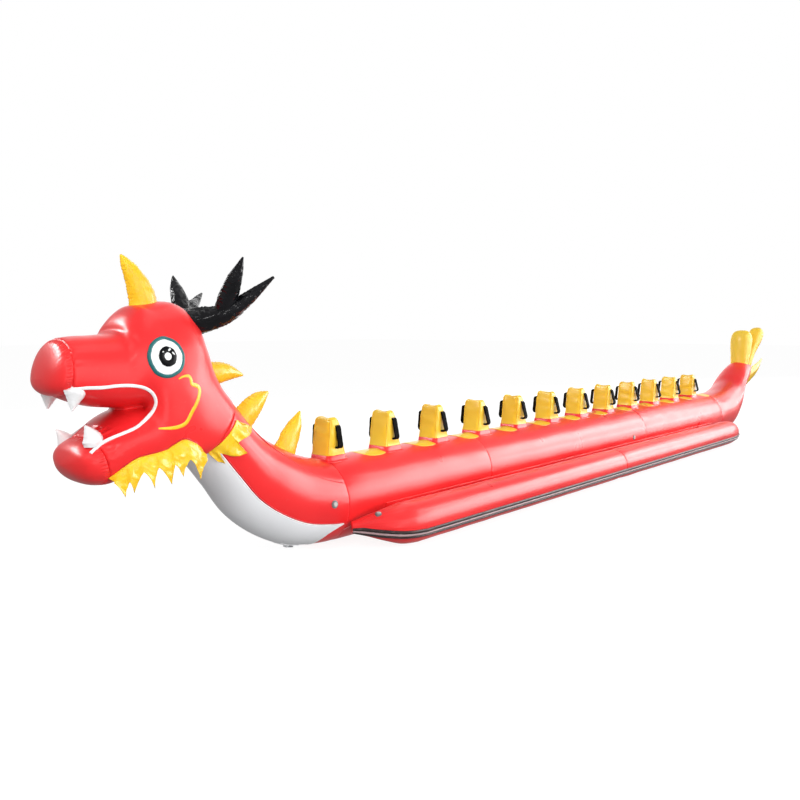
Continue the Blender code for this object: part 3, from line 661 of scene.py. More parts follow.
def vinyl(name, dark, light, roughness=0.13, crease=0.7, coat=0.5, cells=34.0, gloss=0.5):
    """Thin shiny vinyl with many small creases."""
    paint = Paint(name)
    paint.colour(paint.mix(paint.range(paint.noise(7.0, 4.0), 0.35, 0.66, 0.0, 1.0), dark, light))
    paint.grain(paint.noise(20.0, 4.0), roughness - 0.05, roughness + 0.12)
    ridged = paint.node("ShaderNodeTexVoronoi", feature="DISTANCE_TO_EDGE")
    ridged.inputs["Scale"].default_value = cells
    warp = paint.node("ShaderNodeVectorMath", operation="ADD")
    paint.link(paint.place, warp.inputs[0])
    swirl = paint.node("ShaderNodeTexNoise")
    swirl.inputs["Scale"].default_value = 0.53 * cells
    paint.link(paint.place, swirl.inputs["Vector"])
    small = paint.node("ShaderNodeVectorMath", operation="SCALE")
    small.inputs["Scale"].default_value = 0.06
    paint.link(swirl.outputs["Color"], small.inputs[0])
    paint.link(small.outputs[0], warp.inputs[1])
    paint.link(warp.outputs[0], ridged.inputs["Vector"])
    fine = paint.range(ridged.outputs["Distance"], 0.0, 0.22, 0.0, 1.0)
    paint.bump((fine, crease, 0.075 / cells), (paint.noise(2.6 * cells, 3.0, 0.5), 0.20, 0.0008))
    paint.set(Coat_Weight=coat, Coat_Roughness=0.06, Specular_IOR_Level=gloss)
    return paint.material


def webbing(name, dark, light):
    """Woven nylon strap."""
    paint = Paint(name)
    paint.colour(paint.mix(paint.range(paint.noise(160.0, 2.0), 0.3, 0.7, 0.0, 1.0), dark, light))
    paint.grain(paint.noise(60.0, 3.0), 0.55, 0.8)
    paint.bump((paint.weave(0.0034), 0.8, 0.0007), (paint.noise(400.0, 2.0), 0.3, 0.0003))
    paint.set(Specular_IOR_Level=0.08)
    return paint.material


def rubber(name, dark, light, roughness=0.42):
    """Moulded rubber or plastic with a fine grain and light wear."""
    paint = Paint(name)
    wear = paint.range(paint.noise(22.0, 6.0, 0.7, (0.4, 1.0, 1.0)), 0.5, 0.72, 0.0, 1.0)
    paint.colour(paint.mix(wear, dark, light))
    paint.grain(paint.noise(40.0, 4.0), roughness - 0.08, roughness + 0.14)
    paint.bump((paint.noise(30.0, 5.0, 0.6, (0.15, 1.0, 1.0)), 0.3, 0.0015),
               (paint.noise(500.0, 2.0), 0.25, 0.0002))
    return paint.material


def steel(name):
    """Stainless steel, finely scratched."""
    paint = Paint(name)
    paint.colour(paint.mix(paint.noise(60.0, 4.0), (0.42, 0.43, 0.45), (0.66, 0.67, 0.69)))
    paint.grain(paint.noise(140.0, 3.0), 0.18, 0.36)
    paint.bump((paint.noise(300.0, 3.0), 0.12, 0.0003))
    paint.set(Metallic=1.0)
    return paint.material


RED = pvc("red_tarpaulin", (0.90, 0.028, 0.030), (0.80, 0.018, 0.022), (0.95, 0.036, 0.036))
# darker red for welds; also used for the strips that paint shade beside the belly piping and below the rub
# strakes
DEEP_RED = pvc("red_weld_and_painted_shade", (0.66, 0.020, 0.028), (0.58, 0.016, 0.024), (0.72, 0.026, 0.034))
# a lighter pink copy of the red: weld beads coloured as a painted highlight
PINK_HIGHLIGHT_WELD = pvc("pink_weld_painted_highlight", (0.86, 0.20, 0.21), (0.80, 0.15, 0.17), (0.90, 0.27, 0.27))
YELLOW = pvc("yellow_tarpaulin", (0.95, 0.61, 0.035), (0.91, 0.55, 0.025), (0.97, 0.66, 0.05), wrinkle=0.35)
WHITE = pvc("white_tarpaulin", (0.90, 0.91, 0.92), (0.86, 0.87, 0.90), (0.93, 0.93, 0.94),
            scuff=(0.60, 0.57, 0.52))
YELLOW_VINYL = vinyl("yellow_vinyl", (0.91, 0.53, 0.012), (0.96, 0.62, 0.025), 0.22, 0.25, 0.2)
WHITE_VINYL = vinyl("white_vinyl", (0.88, 0.88, 0.89), (0.94, 0.94, 0.94), 0.25, 0.3)
BLACK_VINYL = vinyl("black_vinyl", (0.002, 0.002, 0.003), (0.006, 0.006, 0.008), 0.10, 0.75, 0.30, 17.0, 0.25)
BLACK_PANEL = pvc("black_panel", (0.004, 0.004, 0.005), (0.002, 0.002, 0.003), (0.007, 0.007, 0.008), 0.30,
                  gloss=0.12, scuff=(0.05, 0.05, 0.05))
BLACK_WEBBING = webbing("black_webbing", (0.001, 0.001, 0.0012), (0.005, 0.005, 0.006))
STRAKE_RUBBER = rubber("strake_rubber", (0.030, 0.020, 0.020), (0.10, 0.065, 0.062))
STRAKE_RIB = rubber("strake_rib", (0.40, 0.27, 0.28), (0.50, 0.36, 0.36))
TEAL = pvc("teal_tarpaulin", (0.012, 0.17, 0.17), (0.010, 0.12, 0.13), (0.03, 0.23, 0.22))
VALVE_RING = rubber("valve_ring", (0.16, 0.16, 0.16), (0.26, 0.26, 0.25), 0.38)
VALVE_GREY = rubber("valve_plastic", (0.50, 0.50, 0.49), (0.62, 0.62, 0.60), 0.34)
STEEL = steel("ring_steel")

# hull, neck and tail trunk

TUBE_SIDES = 144
TUBE_SAG = 0.0016
TUBE_SAG_LENGTH = 0.42


def loft(name, rows, count, seed, replaces, sides=TUBE_SIDES, both_ends=True, shape=None, seam=None):
    """A red tube skinned over a side profile, puckered where it is welded to the next."""
    grid = section_grid(catmull(rows, spaced(len(rows) - 1, count)), ring_angles(sides), **(shape or {}))
    move = seam_shape(grid, seed, both_ends, **(seam or {}))
    move = move + TUBE_SAG * ripple(grid, TUBE_SAG_LENGTH, seed + 7)
    return closed_body(name, grid + grid_normals(grid) * move[..., None], RED, "red_pvc", replaces)


for number, (label, start, end) in enumerate(zip(("front", "middle", "aft"), HULL_SEAMS, HULL_SEAMS[1:])):
    profile = [(station, HULL_AXIS + HULL_RADIUS, station, HULL_AXIS - HULL_RADIUS, HULL_RADIUS)
               for station in np.linspace(start, end, 9)]
    loft("hull_length_" + label, profile, 34, 11 + number, ["hull_tube_" + label])
loft("neck_length", NECK, 66, 21, ["neck_tube"], both_ends=False)
loft("tail_length", TRUNK, 74, 31, ["tail_trunk"])

# head


def evaluated_mesh(piece):
    """The mesh of a piece with its modifiers applied; the piece itself is removed."""
    graph = bpy.context.evaluated_depsgraph_get()
    mesh = bpy.data.meshes.new_from_object(piece.evaluated_get(graph))
    bpy.data.objects.remove(piece)
    return mesh


def mesh_arrays(mesh):
    """Points and normals of a mesh."""
    points = np.empty(len(mesh.vertices) * 3)
    normals = np.empty(len(mesh.vertices) * 3)
    mesh.vertices.foreach_get("co", points)
    mesh.vertices.foreach_get("normal", normals)
    return points.reshape(-1, 3), normals.reshape(-1, 3)


def fused(grids, voxel, relax):
    """One skin round several overlapping closed grids, evened out."""
    vertices = []
    faces = []
    for grid in grids:
        rings, sides = grid.shape[:2]
        base = len(vertices)
        vertices += grid.reshape(-1, 3).tolist()
        faces += grid_faces(rings, sides, base=base)
        faces.append(tuple(range(base, base + sides)))
        faces.append(tuple(range(base + (rings - 1) * sides, base + rings * sides)))
    mesh = bpy.data.meshes.new("fused")
    mesh.from_pydata(vertices, [], faces)
    work = bmesh.new()
    work.from_mesh(mesh)
    bmesh.ops.recalc_face_normals(work, faces=work.faces[:])
    work.to_mesh(mesh)
    work.free()
    piece = bpy.data.objects.new("fused", mesh)
    bpy.context.scene.collection.objects.link(piece)
    remesh = piece.modifiers.new("skin", "REMESH")
    remesh.mode = "VOXEL"
    remesh.voxel_size = voxel
    relaxed = piece.modifiers.new("relax", "SMOOTH")
    relaxed.factor = 0.5
    relaxed.iterations = relax
    return evaluated_mesh(piece)


def path_distance(points, path):
    """Distance from each point to a polyline given by closely spaced points."""
    nearest = np.full(len(points), 1e9)
    for start in range(0, len(points), 4000):
        part = points[start:start + 4000]
        nearest[start:start + 4000] = np.sqrt(((part[:, None] - path[None]) ** 2).sum(-1)).min(axis=1)
    return nearest


def relax_near(points, quads, weight, rounds):
    """Draws each point of a skin of quads towards the middle of its neighbours, by its weight."""
    start = np.concatenate([quads[:, corner] for corner in range(4)])
    end = np.concatenate([quads[:, (corner + 1) % 4] for corner in range(4)])
    count = np.maximum(np.bincount(start, minlength=len(points)), 1)[:, None]
    for _ in range(rounds):
        sums = np.stack([np.bincount(start, column[end], len(points)) for column in points.T], 1)
        points = points + (sums / count - points) * weight[:, None]
    return points


HEAD_VOXEL = 0.0105
HEAD_ROUNDS = 9
MOUTH_ROUNDS = 60
MOUTH_OVERLAP = 0.05
BROW_FOLD = ((-1.615, 0.235, 1.46), (-1.645, 0.17, 1.508), (-1.650, 0.0, 1.522), (-1.640, -0.17, 1.508),
             (-1.615, -0.235, 1.46))
BROW_FOLD_DEPTH = 0.010
BROW_FOLD_WIDTH = 0.016
CREASE_REACH = 0.060

# station, lower and upper height, lean and seed

HEAD_WELDS = ((-1.953, 1.10, 1.50, 0.0, 3), (-1.800, 0.62, 0.97, 0.29, 5))
HEAD_WELD_PUCKER = 0.0026
HEAD_WELD_DIP = 0.004
HEAD_SAG = 0.0022
HEAD_SAG_LENGTH = 0.30


def head_shell():
    """Skull and both jaws as one tight skin, with puckers where the nose and chin are welded on."""
    inner = MOUTH + MOUTH_OVERLAP
    jaw_up = [(inner, 1.640, inner, 1.092, 0.262), *UPPER_JAW]
    jaw_low = [(inner, 1.078, inner, 0.716, 0.262), *LOWER_JAW]
    grids = []
    for rows, *shape in ((SKULL, 0.44, 2.3, 2.8), (jaw_up, 0.35, 2.4, 2.2), (jaw_low, 0.55, 2.2, 2.6)):
        where = np.linspace(0, len(rows) - 1, 12 * (len(rows) - 1) + 1)
        grids.append(section_grid(catmull(rows, where), ring_angles(120), *shape))
    mesh = fused(grids, HEAD_VOXEL, HEAD_ROUNDS)
    points, normals = mesh_arrays(mesh)
    faces = [tuple(polygon.vertices) for polygon in mesh.polygons]
    gap = FIRST_BLOCK_X - points[:, 0] - MOUTH
    crease = np.exp(-(gap / CREASE_REACH) ** 2) * np.clip((np.abs(points[:, 1]) - 0.12) / 0.06, 0, 1)
    points = relax_near(points, np.array(faces), 0.9 * crease, MOUTH_ROUNDS)
    height = points[:, 2]
    fold_line = smooth_path(at(*np.transpose(BROW_FOLD)), 0.01)
    move = -BROW_FOLD_DEPTH * np.exp(-(path_distance(points, fold_line) / BROW_FOLD_WIDTH) ** 2)
    for station, low, high, lean, seed in HEAD_WELDS:
        centre = 0.5 * (low + high)
        s = np.clip(FIRST_BLOCK_X - points[:, 0] - station + lean * (centre - height), 0, 1)
        angle = np.arctan2(points[:, 1], height - centre)
        rng = np.random.default_rng(seed)
        wave = sum(np.sin(rng.integers(16, 40) * angle + rng.uniform(0, TAU)) for _ in range(5)) / 2.2
        pucker = HEAD_WELD_PUCKER * wave * np.exp(-s / 0.028) - HEAD_WELD_DIP * np.exp(-s / 0.02)
        move += np.where((height > low - 0.02) & (height < high + 0.02), pucker, 0.0)
    move += HEAD_SAG * ripple(points, HEAD_SAG_LENGTH, 41) * (0.4 + 0.6 * np.abs(normals[:, 1]))
    return points + normals * move[:, None], faces


HEAD_DENTS = 62
PUFF_SEAM = dict(dip=0.006, edge=0.008, pucker=0.0030, reach=0.030, dents=HEAD_DENTS)
PUFFS = (
    ("nose_puff", NOSE + NOSE_TIP, 51, "nose_block", dict(waist=0.40, upper=2.2, lower=2.4)),
    ("chin_puff", CHIN + CHIN_TIP, 53, "chin_block", dict(waist=0.55, upper=2.4, lower=2.6)),
)

head = [mesh_piece("head_shell", *head_shell(), RED, "red_pvc", ["head_skull", "upper_jaw", "lower_jaw"])]
for name, rows, seed, node, shape in PUFFS:
    head.append(loft(name, rows, 24, seed, [node], 6 * HEAD_DENTS, False, shape, PUFF_SEAM))
head_surface = Surface(*head)

# station and height

LIP_LINE = (
    (-1.947, 1.216), (-1.884, 1.215), (-1.814, 1.213), (-1.736, 1.218), (-1.660, 1.216), (-1.594, 1.202),
    (-1.542, 1.171), (-1.514, 1.122), (-1.522, 1.070), (-1.570, 1.021), (-1.634, 0.984), (-1.706, 0.957),
    (-1.775, 0.929), (-1.826, 0.900), (-1.871, 0.868),
)
CHEEK_LINE = (
    (-1.395, 1.240), (-1.365, 1.252), (-1.327, 1.254), (-1.312, 1.232), (-1.308, 1.208), (-1.275, 1.196),
    (-1.256, 1.182), (-1.254, 1.155), (-1.264, 1.125), (-1.285, 1.085), (-1.313, 1.045), (-1.340, 1.000),
    (-1.367, 0.980), (-1.426, 0.969), (-1.520, 0.973),
)
LIP_WIDTH = 0.024
LIP_HEIGHT = 0.0080
LIP_SINK = 0.018

for label, side in SIDES:
    points, normals = head_surface.side_line(smooth_path(LIP_LINE), side, 2)
    reach = skin = side * points[:, 1]
    for _ in range(4):
        reach = evened(np.maximum(reach, skin), 30)
    points[:, 1] = side * reach
    bead("lip_piping_" + label, points, evened(normals, 120), LIP_WIDTH, LIP_HEIGHT, WHITE_VINYL, "white_pvc",
         LIP_SINK)
    points, normals = head_surface.side_line(smooth_path(CHEEK_LINE, 0.004), side, 3)
    share = np.linspace(0, 1, len(points))
    width = 0.008 + 0.024 * np.sin(np.pi * share) ** 0.8 + 0.003 * np.sin(9 * share)
    bead("cheek_flourish_" + label, points, normals, width, 0.0022, YELLOW_VINYL, "yellow_pvc", 0.002)

# radius, height above the cheek, panel: 0 is the welt, 1 the iris, 2 the white, 3 the pupil's dot

EYE_PROFILE = (
    (0.0010, 0.0180, 3), (0.0200, 0.0177, 3), (0.0215, 0.0175, 1), (0.0225, 0.0185, 1), (0.038, 0.0178, 1),
    (0.0550, 0.0164, 1), (0.0565, 0.0152, 2), (0.066, 0.0144, 2), (0.078, 0.0128, 2), (0.088, 0.0106, 2),
    (0.0940, 0.0084, 2), (0.0970, 0.0068, 0), (0.0985, 0.0094, 0), (0.103, 0.0114, 0), (0.108, 0.0112, 0),
    (0.1125, 0.0092, 0), (0.1155, 0.0052, 0), (0.1165, -0.0010, 0), (0.1150, -0.0260, 0),
)
EYE_PANELS = (TEAL, BLACK_PANEL, WHITE_VINYL, WHITE_VINYL)

# white decals that paint highlights on the eye: place, half length, half width and turn, then the outline's
# scales and heights

EYE_GLINTS = (
    ((-0.036, 0.016), 0.011, 0.005, 0.9),
    ((-0.014, 0.037), 0.010, 0.006, -0.5),
    ((0.028, 0.026), 0.005, 0.004, 0.0),
)
GLINT_PROFILE = ((0.04, 0.0196), (0.8, 0.0194), (1.0, 0.0185), (1.0, 0.0150))
GLINT_SIDES = 16
EYE_SIDES = 96
EYE_PROBE_RADII = (0.0, 0.035, 0.07, 0.10, 0.118)
EYE_PROBE_TURNS = 24
EYE_WAVER = 0.0007
EYE_PUCKER = 0.0006
EYE_SINK = 0.004


def eye(label, side):
    """A padded disc on the cheek: teal welt, white, black iris and white pupil dot, each its own panel; small
    white decals on it paint highlights.
    """
    station, offset, height = EYE_CENTRE
    out = np.array((0.0, side * math.cos(EYE_TILT), math.sin(EYE_TILT)))
    ahead = np.array((1.0, 0.0, 0.0))
    up = np.array((0.0, -side * math.sin(EYE_TILT), math.cos(EYE_TILT)))
    centre = at(station, side * offset, height)

    def terms(x, y):
        """The terms of a curved surface fitted to the cheek."""
        return np.stack((np.ones_like(x), x, y, x * x, x * y, y * y), -1)

    spots = []
    reaches = []
    for radius in EYE_PROBE_RADII:
        for turn in np.linspace(0, TAU, EYE_PROBE_TURNS, endpoint=False):
            x, y = radius * math.cos(turn), radius * math.sin(turn)
            found = head_surface.hit(centre + ahead * x + up * y + out * 0.5, -out)
            if found:
                spots.append((x, y))
                reaches.append((found[0] - centre) @ out)
    reaches = np.array(reaches)
    basis = terms(*np.transpose(spots))
    shape = np.linalg.lstsq(basis, reaches, rcond=None)[0]
    shape[0] += max(0.0, (reaches - basis @ shape).max() - EYE_SINK)

    def on_cheek(x, y, reach):
        """Points at a height above the fitted surface."""
        lift = terms(x, y) @ shape + reach
        return centre + ahead * x[:, None] + up * y[:, None] + out * lift[:, None]

    angles = TAU * np.arange(EYE_SIDES) / EYE_SIDES
    edge = EYE_WAVER * (np.sin(5 * angles + 1.0) + np.sin(8 * angles + 2.0) + 0.7 * np.sin(13 * angles))
    pucker = np.sin(21 * angles) + 0.7 * np.sin(34 * angles + 1.3)
    rings = []
    for radius, reach, _ in EYE_PROFILE:
        spread = radius + edge * min(1.0, radius / 0.05)
        lift = EYE_PUCKER * pucker * max(0.0, (radius - 0.070) / 0.03) * (radius < 0.1)
        rings.append(on_cheek(spread * np.cos(angles), spread * np.sin(angles), reach + lift))
    piece = closed_body("eye_disc_" + label, np.array(rings), EYE_PANELS, "white_pvc", ["eye_" + label])
    panels = [panel for _, _, panel in EYE_PROFILE[:-1]] + [3, 0]
    for index, polygon in enumerate(piece.data.polygons):
        polygon.material_index = panels[index // EYE_SIDES]
    # small white decals laid over the iris: painted highlights
    angles = TAU * np.arange(GLINT_SIDES) / GLINT_SIDES
    for number, ((along, rise), length, width, turn) in enumerate(EYE_GLINTS, start=1):
        rings = []
        for scale, reach in GLINT_PROFILE:
            x = scale * length * np.cos(angles)
            y = scale * width * np.sin(angles) * (1 + 0.25 * np.cos(2 * angles + 1))
            rings.append(on_cheek(side * (along + x * math.cos(turn) - y * math.sin(turn)),
                                  rise + x * math.sin(turn) + y * math.cos(turn), reach))
        closed_body("eye_glint_%s_%d" % (label, number), np.array(rings), WHITE_VINYL, "white_pvc")


for label, side in SIDES:
    eye(label, side)

# horn, spikes, antlers and teeth


def vinyl_form(name, rows, material, slot, seed, replaces=(), sides=60, rings=80, crumple=0.003, flange=0.004,
               fullness=1.9, pitch=0.024, seam_turn=0.0, ribs=0.4):
    """An inflated form of two vinyl panels: welded edges fore and aft, puckers that run in from them."""
    full = catmull(rows, (len(rows) - 1) * np.linspace(0, 1, rings) ** 0.92)
    full[:, 3:5] = np.maximum(full[:, 3:5], 0.0025)
    angles = ring_angles(sides)
    grid = tube_grid(full, angles, fullness=fullness)
    run = path_run(grid.mean(axis=1))[:, None]
    size = np.clip(full[:, 3:5].mean(axis=1) / 0.05, 0.08, 1.3)[:, None]
    edge = np.abs(np.cos(angles - seam_turn))[None, :]
    drift = 1.5 * np.sin(run * TAU / (5.3 * pitch) + np.random.default_rng(seed).uniform(0, TAU))
    halves = np.sign(np.cos(angles - seam_turn))[None, :]
    wave = np.sin(run * TAU / pitch + drift + 2.0 * halves)
    wave = wave + 0.6 * np.sin(run * TAU / (0.61 * pitch) + 1.0 - halves)
    slack = 0.85 * (fold(grid, 3.2 * pitch, seed) - 0.45) * (0.35 + 0.65 * edge ** 2)
    broad = 0.45 * ripple(grid, 4.5 * pitch, seed + 1)
    move = size * crumple * (ribs * wave * edge ** 5 + slack + broad)
    move += flange * size ** 0.5 * edge ** 90 * (1 + 0.25 * np.sin(run * TAU / (0.8 * pitch)))
    return closed_body(name, grid + grid_normals(grid) * move[..., None], material, slot, replaces)


def mirrored(rows, side, droop=0.0):
    """A tube's rows for one side of the boat, its end let down by droop and the rest in proportion."""
    low, high = rows[0][2], rows[-1][2]
    return [(row[0], side * row[1], row[2] - droop * (row[2] - low) / (high - low), *row[3:]) for row in rows]


TEETH = (("upper", UPPER_TOOTH, UPPER_TOOTH_OFFSET, 100), ("lower", LOWER_TOOTH, LOWER_TOOTH_OFFSET, 104))

vinyl_form("brow_horn", HORN, YELLOW_VINYL, "yellow_pvc", 61, ["horn"], rings=90)
for number, rows in enumerate(SPIKES, start=1):
    vinyl_form("nape_spike_%d" % number, rows, YELLOW_VINYL, "yellow_pvc", 70 + number,
               ["neck_spike_%d" % number], crumple=0.0034)
for label, side in SIDES:
    droop = 0.0 if side > 0 else STARBOARD_DROOP
    fall = droop * (ANTLER_BRANCH[0][2] - ANTLER_STEM[0][2]) / (ANTLER_STEM[-1][2] - ANTLER_STEM[0][2])
    branch = [(row[0], row[1], row[2] - fall, *row[3:]) for row in ANTLER_BRANCH]
    vinyl_form("antler_stem_" + label, mirrored(ANTLER_STEM, side, droop), BLACK_VINYL, "black_vinyl",
               80 + side, ["antler_" + label], crumple=0.0052, rings=120, sides=76, pitch=0.030, ribs=0.2)
    vinyl_form("antler_tine_" + label, mirrored(branch, side, droop - fall), BLACK_VINYL, "black_vinyl",
               90 + side, crumple=0.0046, rings=96, sides=68, pitch=0.026, ribs=0.2)
for label, side in SIDES:
    for jaw, table, offset, seed in TEETH:
        path = [(station, side * offset, height, 0.85 * radius, 1.05 * radius)
                for station, height, radius in table[label]]
        vinyl_form("fang_%s_%s" % (jaw, label), path, WHITE_VINYL, "white_pvc", seed + side,
                   ["tooth_%s_%s" % (jaw, label)], sides=56, rings=64, crumple=0.0016, flange=0.0030,
                   fullness=1.75, pitch=0.020)

# beard and collar

FLAP_STEPS = 10
FLAP_ROWS = 20
FLAP_THICKNESS = 0.0022
BEARD_GAP = 0.006
BEARD_FLARE = 0.012
BEARD_SWAY = 0.010
BEARD_RIPPLE = 0.0022
COLLAR_GAP = 0.008
COLLAR_FLARE = 0.008
COLLAR_RIPPLE = 0.004
COLLAR_BULGE = 0.006
STARBOARD_FIRST_TIP_LIFT = 0.050


def jagged(values, per_span):
    """Positions between alternating notches and tips, hollow-sided towards each tip."""
    values = np.asarray(values, float)
    out = []
    for index in range(len(values) - 1):
        rising = index % 2 == 0
        share = np.arange(per_span) / per_span
        ease = share ** 1.3 if rising else 1 - (1 - share) ** 1.15
        out.append(values[index] + (values[index + 1] - values[index]) * ease)
    return np.concatenate((*out, values[-1:]))


def evenly(values, per_span):
    """Values with even steps put in between them."""
    values = np.asarray(values, float)
    return np.interp(np.arange((len(values) - 1) * per_span + 1) / per_span, np.arange(len(values)), values)


def beard(label, side):
    """A cut vinyl flap welded along the jaw's side, its flame points hanging free."""
    rows = np.array(BEARD, float)
    rows[1, 2] += 0.0 if side > 0 else STARBOARD_FIRST_TIP_LIFT
    station, top, offset = (evenly(rows[:, column], FLAP_STEPS)[:, None] for column in (0, 1, 3))
    bottom = jagged(rows[:, 2], FLAP_STEPS)[:, None]
    down = np.linspace(0, 1, FLAP_ROWS)
    index = np.arange(len(station))
    span = index[:, None] / FLAP_STEPS
    points, _ = head_surface.side_line(np.hstack((station, top)), side, 3)
    weld = np.interp(index, np.linspace(0, index[-1], len(points)), np.abs(points[:, 1]))[:, None]
    height = top + (bottom - top) * down
    lean = 0.004 * down ** 2 * np.clip((top - bottom) / 0.1, 0, 1.4)
    hang = weld + BEARD_GAP + (offset + BEARD_FLARE - weld) * np.clip(down * 2.5, 0, 1)
    hang = hang + BEARD_SWAY * np.sin(span * np.pi + 0.6) * down ** 1.3
    front = at(station + lean * np.sin(span * 1.9), side * hang, height)
    front[..., 1] += side * BEARD_RIPPLE * ripple(front, 0.045, 120) * np.clip(4 * down, 0, 1)
    normals = grid_normals(front, wrap=False)
    normals = normals * np.sign((normals[..., 1] * side).sum())
    piece = sheet_body("beard_flap_" + label, front, normals, FLAP_THICKNESS, YELLOW_VINYL,
                       "yellow_pvc", ["beard_frill_" + label])
    out = np.tile((0.0, float(side), 0.0), (len(station), 1))
    rim = evened(front[:, 0], 6)
    bead("beard_rim_" + label, rim, out, 0.008, 0.0035, YELLOW_VINYL, "yellow_pvc", 0.004)
    above = rim + np.array((0.0, -side * 0.004, 0.010))
    bead("beard_weld_" + label, above, out, 0.008, 0.0030, DEEP_RED, "red_pvc", 0.006)
    return piece, front


def neck_axis(rows):
    """The neck's middle at rows of its table, and the way from there to its top."""
    top = at(rows[:, 0], 0.0, rows[:, 1])
    middle = 0.5 * (top + at(rows[:, 2], 0.0, rows[:, 3]))
    return middle, top - middle


def neck_point(place, angle, proud):
    """Points on the neck: place in its table, angle from its top to port, height above the skin."""
    place, angle = np.broadcast_arrays(np.asarray(place, float), np.asarray(angle, float))
    rows = catmull(NECK, place.ravel())
    middle, radial = neck_axis(rows)
    turn = angle.ravel()
    point = middle + unit(radial) * ((np.linalg.norm(radial, axis=1) + proud) * np.cos(turn))[:, None]
    point[:, 1] += (rows[:, 4] + proud) * np.sin(turn)
    return point.reshape(*place.shape, 3)


def collar(label, side):
    """A cut vinyl frill lying on the neck, welded at the head's seam."""
    root_place, root_angle, tip_place, tip_angle = (evenly(column, FLAP_STEPS) for column in zip(*COLLAR))
    down = np.linspace(0, 1, FLAP_ROWS)
    lines = []
    for share in down:
        place = root_place + (tip_place - root_place) * share
        angle = np.radians(root_angle + (tip_angle - root_angle) * share) * side
        lines.append(neck_point(place, angle, COLLAR_GAP + COLLAR_FLARE * share))
    front = np.stack(lines, axis=1)
    normals = grid_normals(front, wrap=False)
    outward = front - front.mean(axis=(0, 1)) + np.array((0.0, side * 0.6, 0.0))
    normals = normals * np.sign((normals * outward).sum())
    span = np.arange(len(root_place))[:, None] / FLAP_STEPS
    wave = COLLAR_RIPPLE * ripple(front, 0.06, 131) + COLLAR_BULGE * np.sin(span * np.pi)
    front = front + normals * (wave * down)[..., None]
    return sheet_body("collar_flap_" + label, front, normals, FLAP_THICKNESS, YELLOW_VINYL,
                      "yellow_pvc", ["collar_frill_" + label]), front


for label, side in SIDES:
    flap, grid = beard(label, side)
    flap, grid = collar(label, side)

# belly panel, weld lines and painted shade lines

BELLY_COLUMNS = 81
BELLY_ROWS = 110
BELLY_THICKNESS = 0.005
BELLY_LIFT = 0.0030
BELLY_EDGE = 0.0020
BELLY_SETTLE = 0.0015
BELLY_SAG = 0.0012
BELLY_SAG_LENGTH = 0.30

# row of the neck's table and degrees from its top

NAPE_WELD = ((5.95, 30.0), (5.2, 31.0), (4.4, 33.0), (3.4, 38.0), (2.4, 46.0), (1.4, 54.0), (0.7, 57.0),
             (0.22, 58.8))


def belly_panel():
    """The pale panel welded over the neck's underside, its aft end cut to a point on each side."""
    table = np.asarray(BELLY, float)
    share = np.linspace(-1, 1, BELLY_COLUMNS)
    span = np.linspace(0, 1, BELLY_ROWS)
    first, last = table[0, 0], table[-1, 0]
    half = np.radians(catmull(table, np.linspace(0, len(table) - 1, len(span)))[:, 1])
    start = BELLY_KEEL_START + (first - BELLY_KEEL_START) * np.abs(share) ** 5.5
    place = start + (last - start) * span[:, None]
    thin = np.minimum(np.clip((1 - np.abs(share)) / 0.02, 0, 1),
                      np.clip(np.minimum(span, 1 - span) / 0.006, 0, 1)[:, None])
    outer = neck_point(place, math.pi + share * half[:, None], BELLY_LIFT)
    normals = grid_normals(outer, wrap=False)
    centre = neck_axis(catmull(NECK, place[:, BELLY_COLUMNS // 2]))[0][:, None]
    normals = normals * np.sign((normals * (outer - centre)).sum())
    sag = BELLY_SAG * ripple(outer, BELLY_SAG_LENGTH, 140)
    outer = outer + normals * (BELLY_EDGE * thin - BELLY_SETTLE + sag)[..., None]
    sheet_body("belly_skin", outer, normals, BELLY_THICKNESS, WHITE, "white_pvc", ["belly_panel"])
    for (label, _), column in zip(SIDES, (-1, 0)):
        edge, out = outer[:-2, column], normals[:-2, column]
        path = smooth_path(edge, 0.012)
        want, have = np.linspace(0, 1, len(path)), np.linspace(0, 1, len(edge))
        direction = np.stack([np.interp(want, have, values) for values in out.T], 1)
        bead("belly_piping_" + label, path, direction, 0.010, 0.0045, WHITE_VINYL, "white_pvc")
        # a dark red strip beside each piping: painted shade along the piping's edge
        shift = unit(np.cross(np.gradient(path, axis=0), direction))
        shift = shift * np.sign(shift[:, 2].sum())
        bead("belly_shade_line_" + label, path + shift * 0.010, direction, 0.007, 0.0022, DEEP_RED, "red_pvc",
             0.004)
    path = smooth_path(outer[0], 0.012)
    nearest = np.linspace(0, BELLY_COLUMNS - 1, len(path)).astype(int)
    bead("belly_piping_aft", path, normals[0][nearest], 0.008, 0.0035, WHITE_VINYL, "white_pvc")


belly_panel()
path = smooth_path(NAPE_WELD, 0.2)
for label, side in SIDES:
    angle = np.radians(path[:, 1]) * side
    low = neck_point(path[:, 0], angle, 0.0)
    high = neck_point(path[:, 0], angle, 0.01)
    bead("nape_weld_" + label, low, high - low, 0.006, 0.0022, DEEP_RED, "red_pvc")

# pontoons

PONTOON_SIDES = 112
PONTOON_SAG = 0.0012
PONTOON_SAG_LENGTH = 0.35
PLEAT_DEPTH = 0.0012
SEAM_CLEARANCE = 0.160
SEAM_NOTCH = 0.0050
SEAM_DIP = 0.0045
SEAM_PUCKER = 0.0008
STRAIGHT_LIFT = 0.0005
STRAIGHT_START = 0.34
STRAIGHT_END = 6.40
STRAKE_TURN = math.radians(112.5)
STRAKE_MIN_RADIUS = 0.035

# place across the strake and height above the pontoon's skin

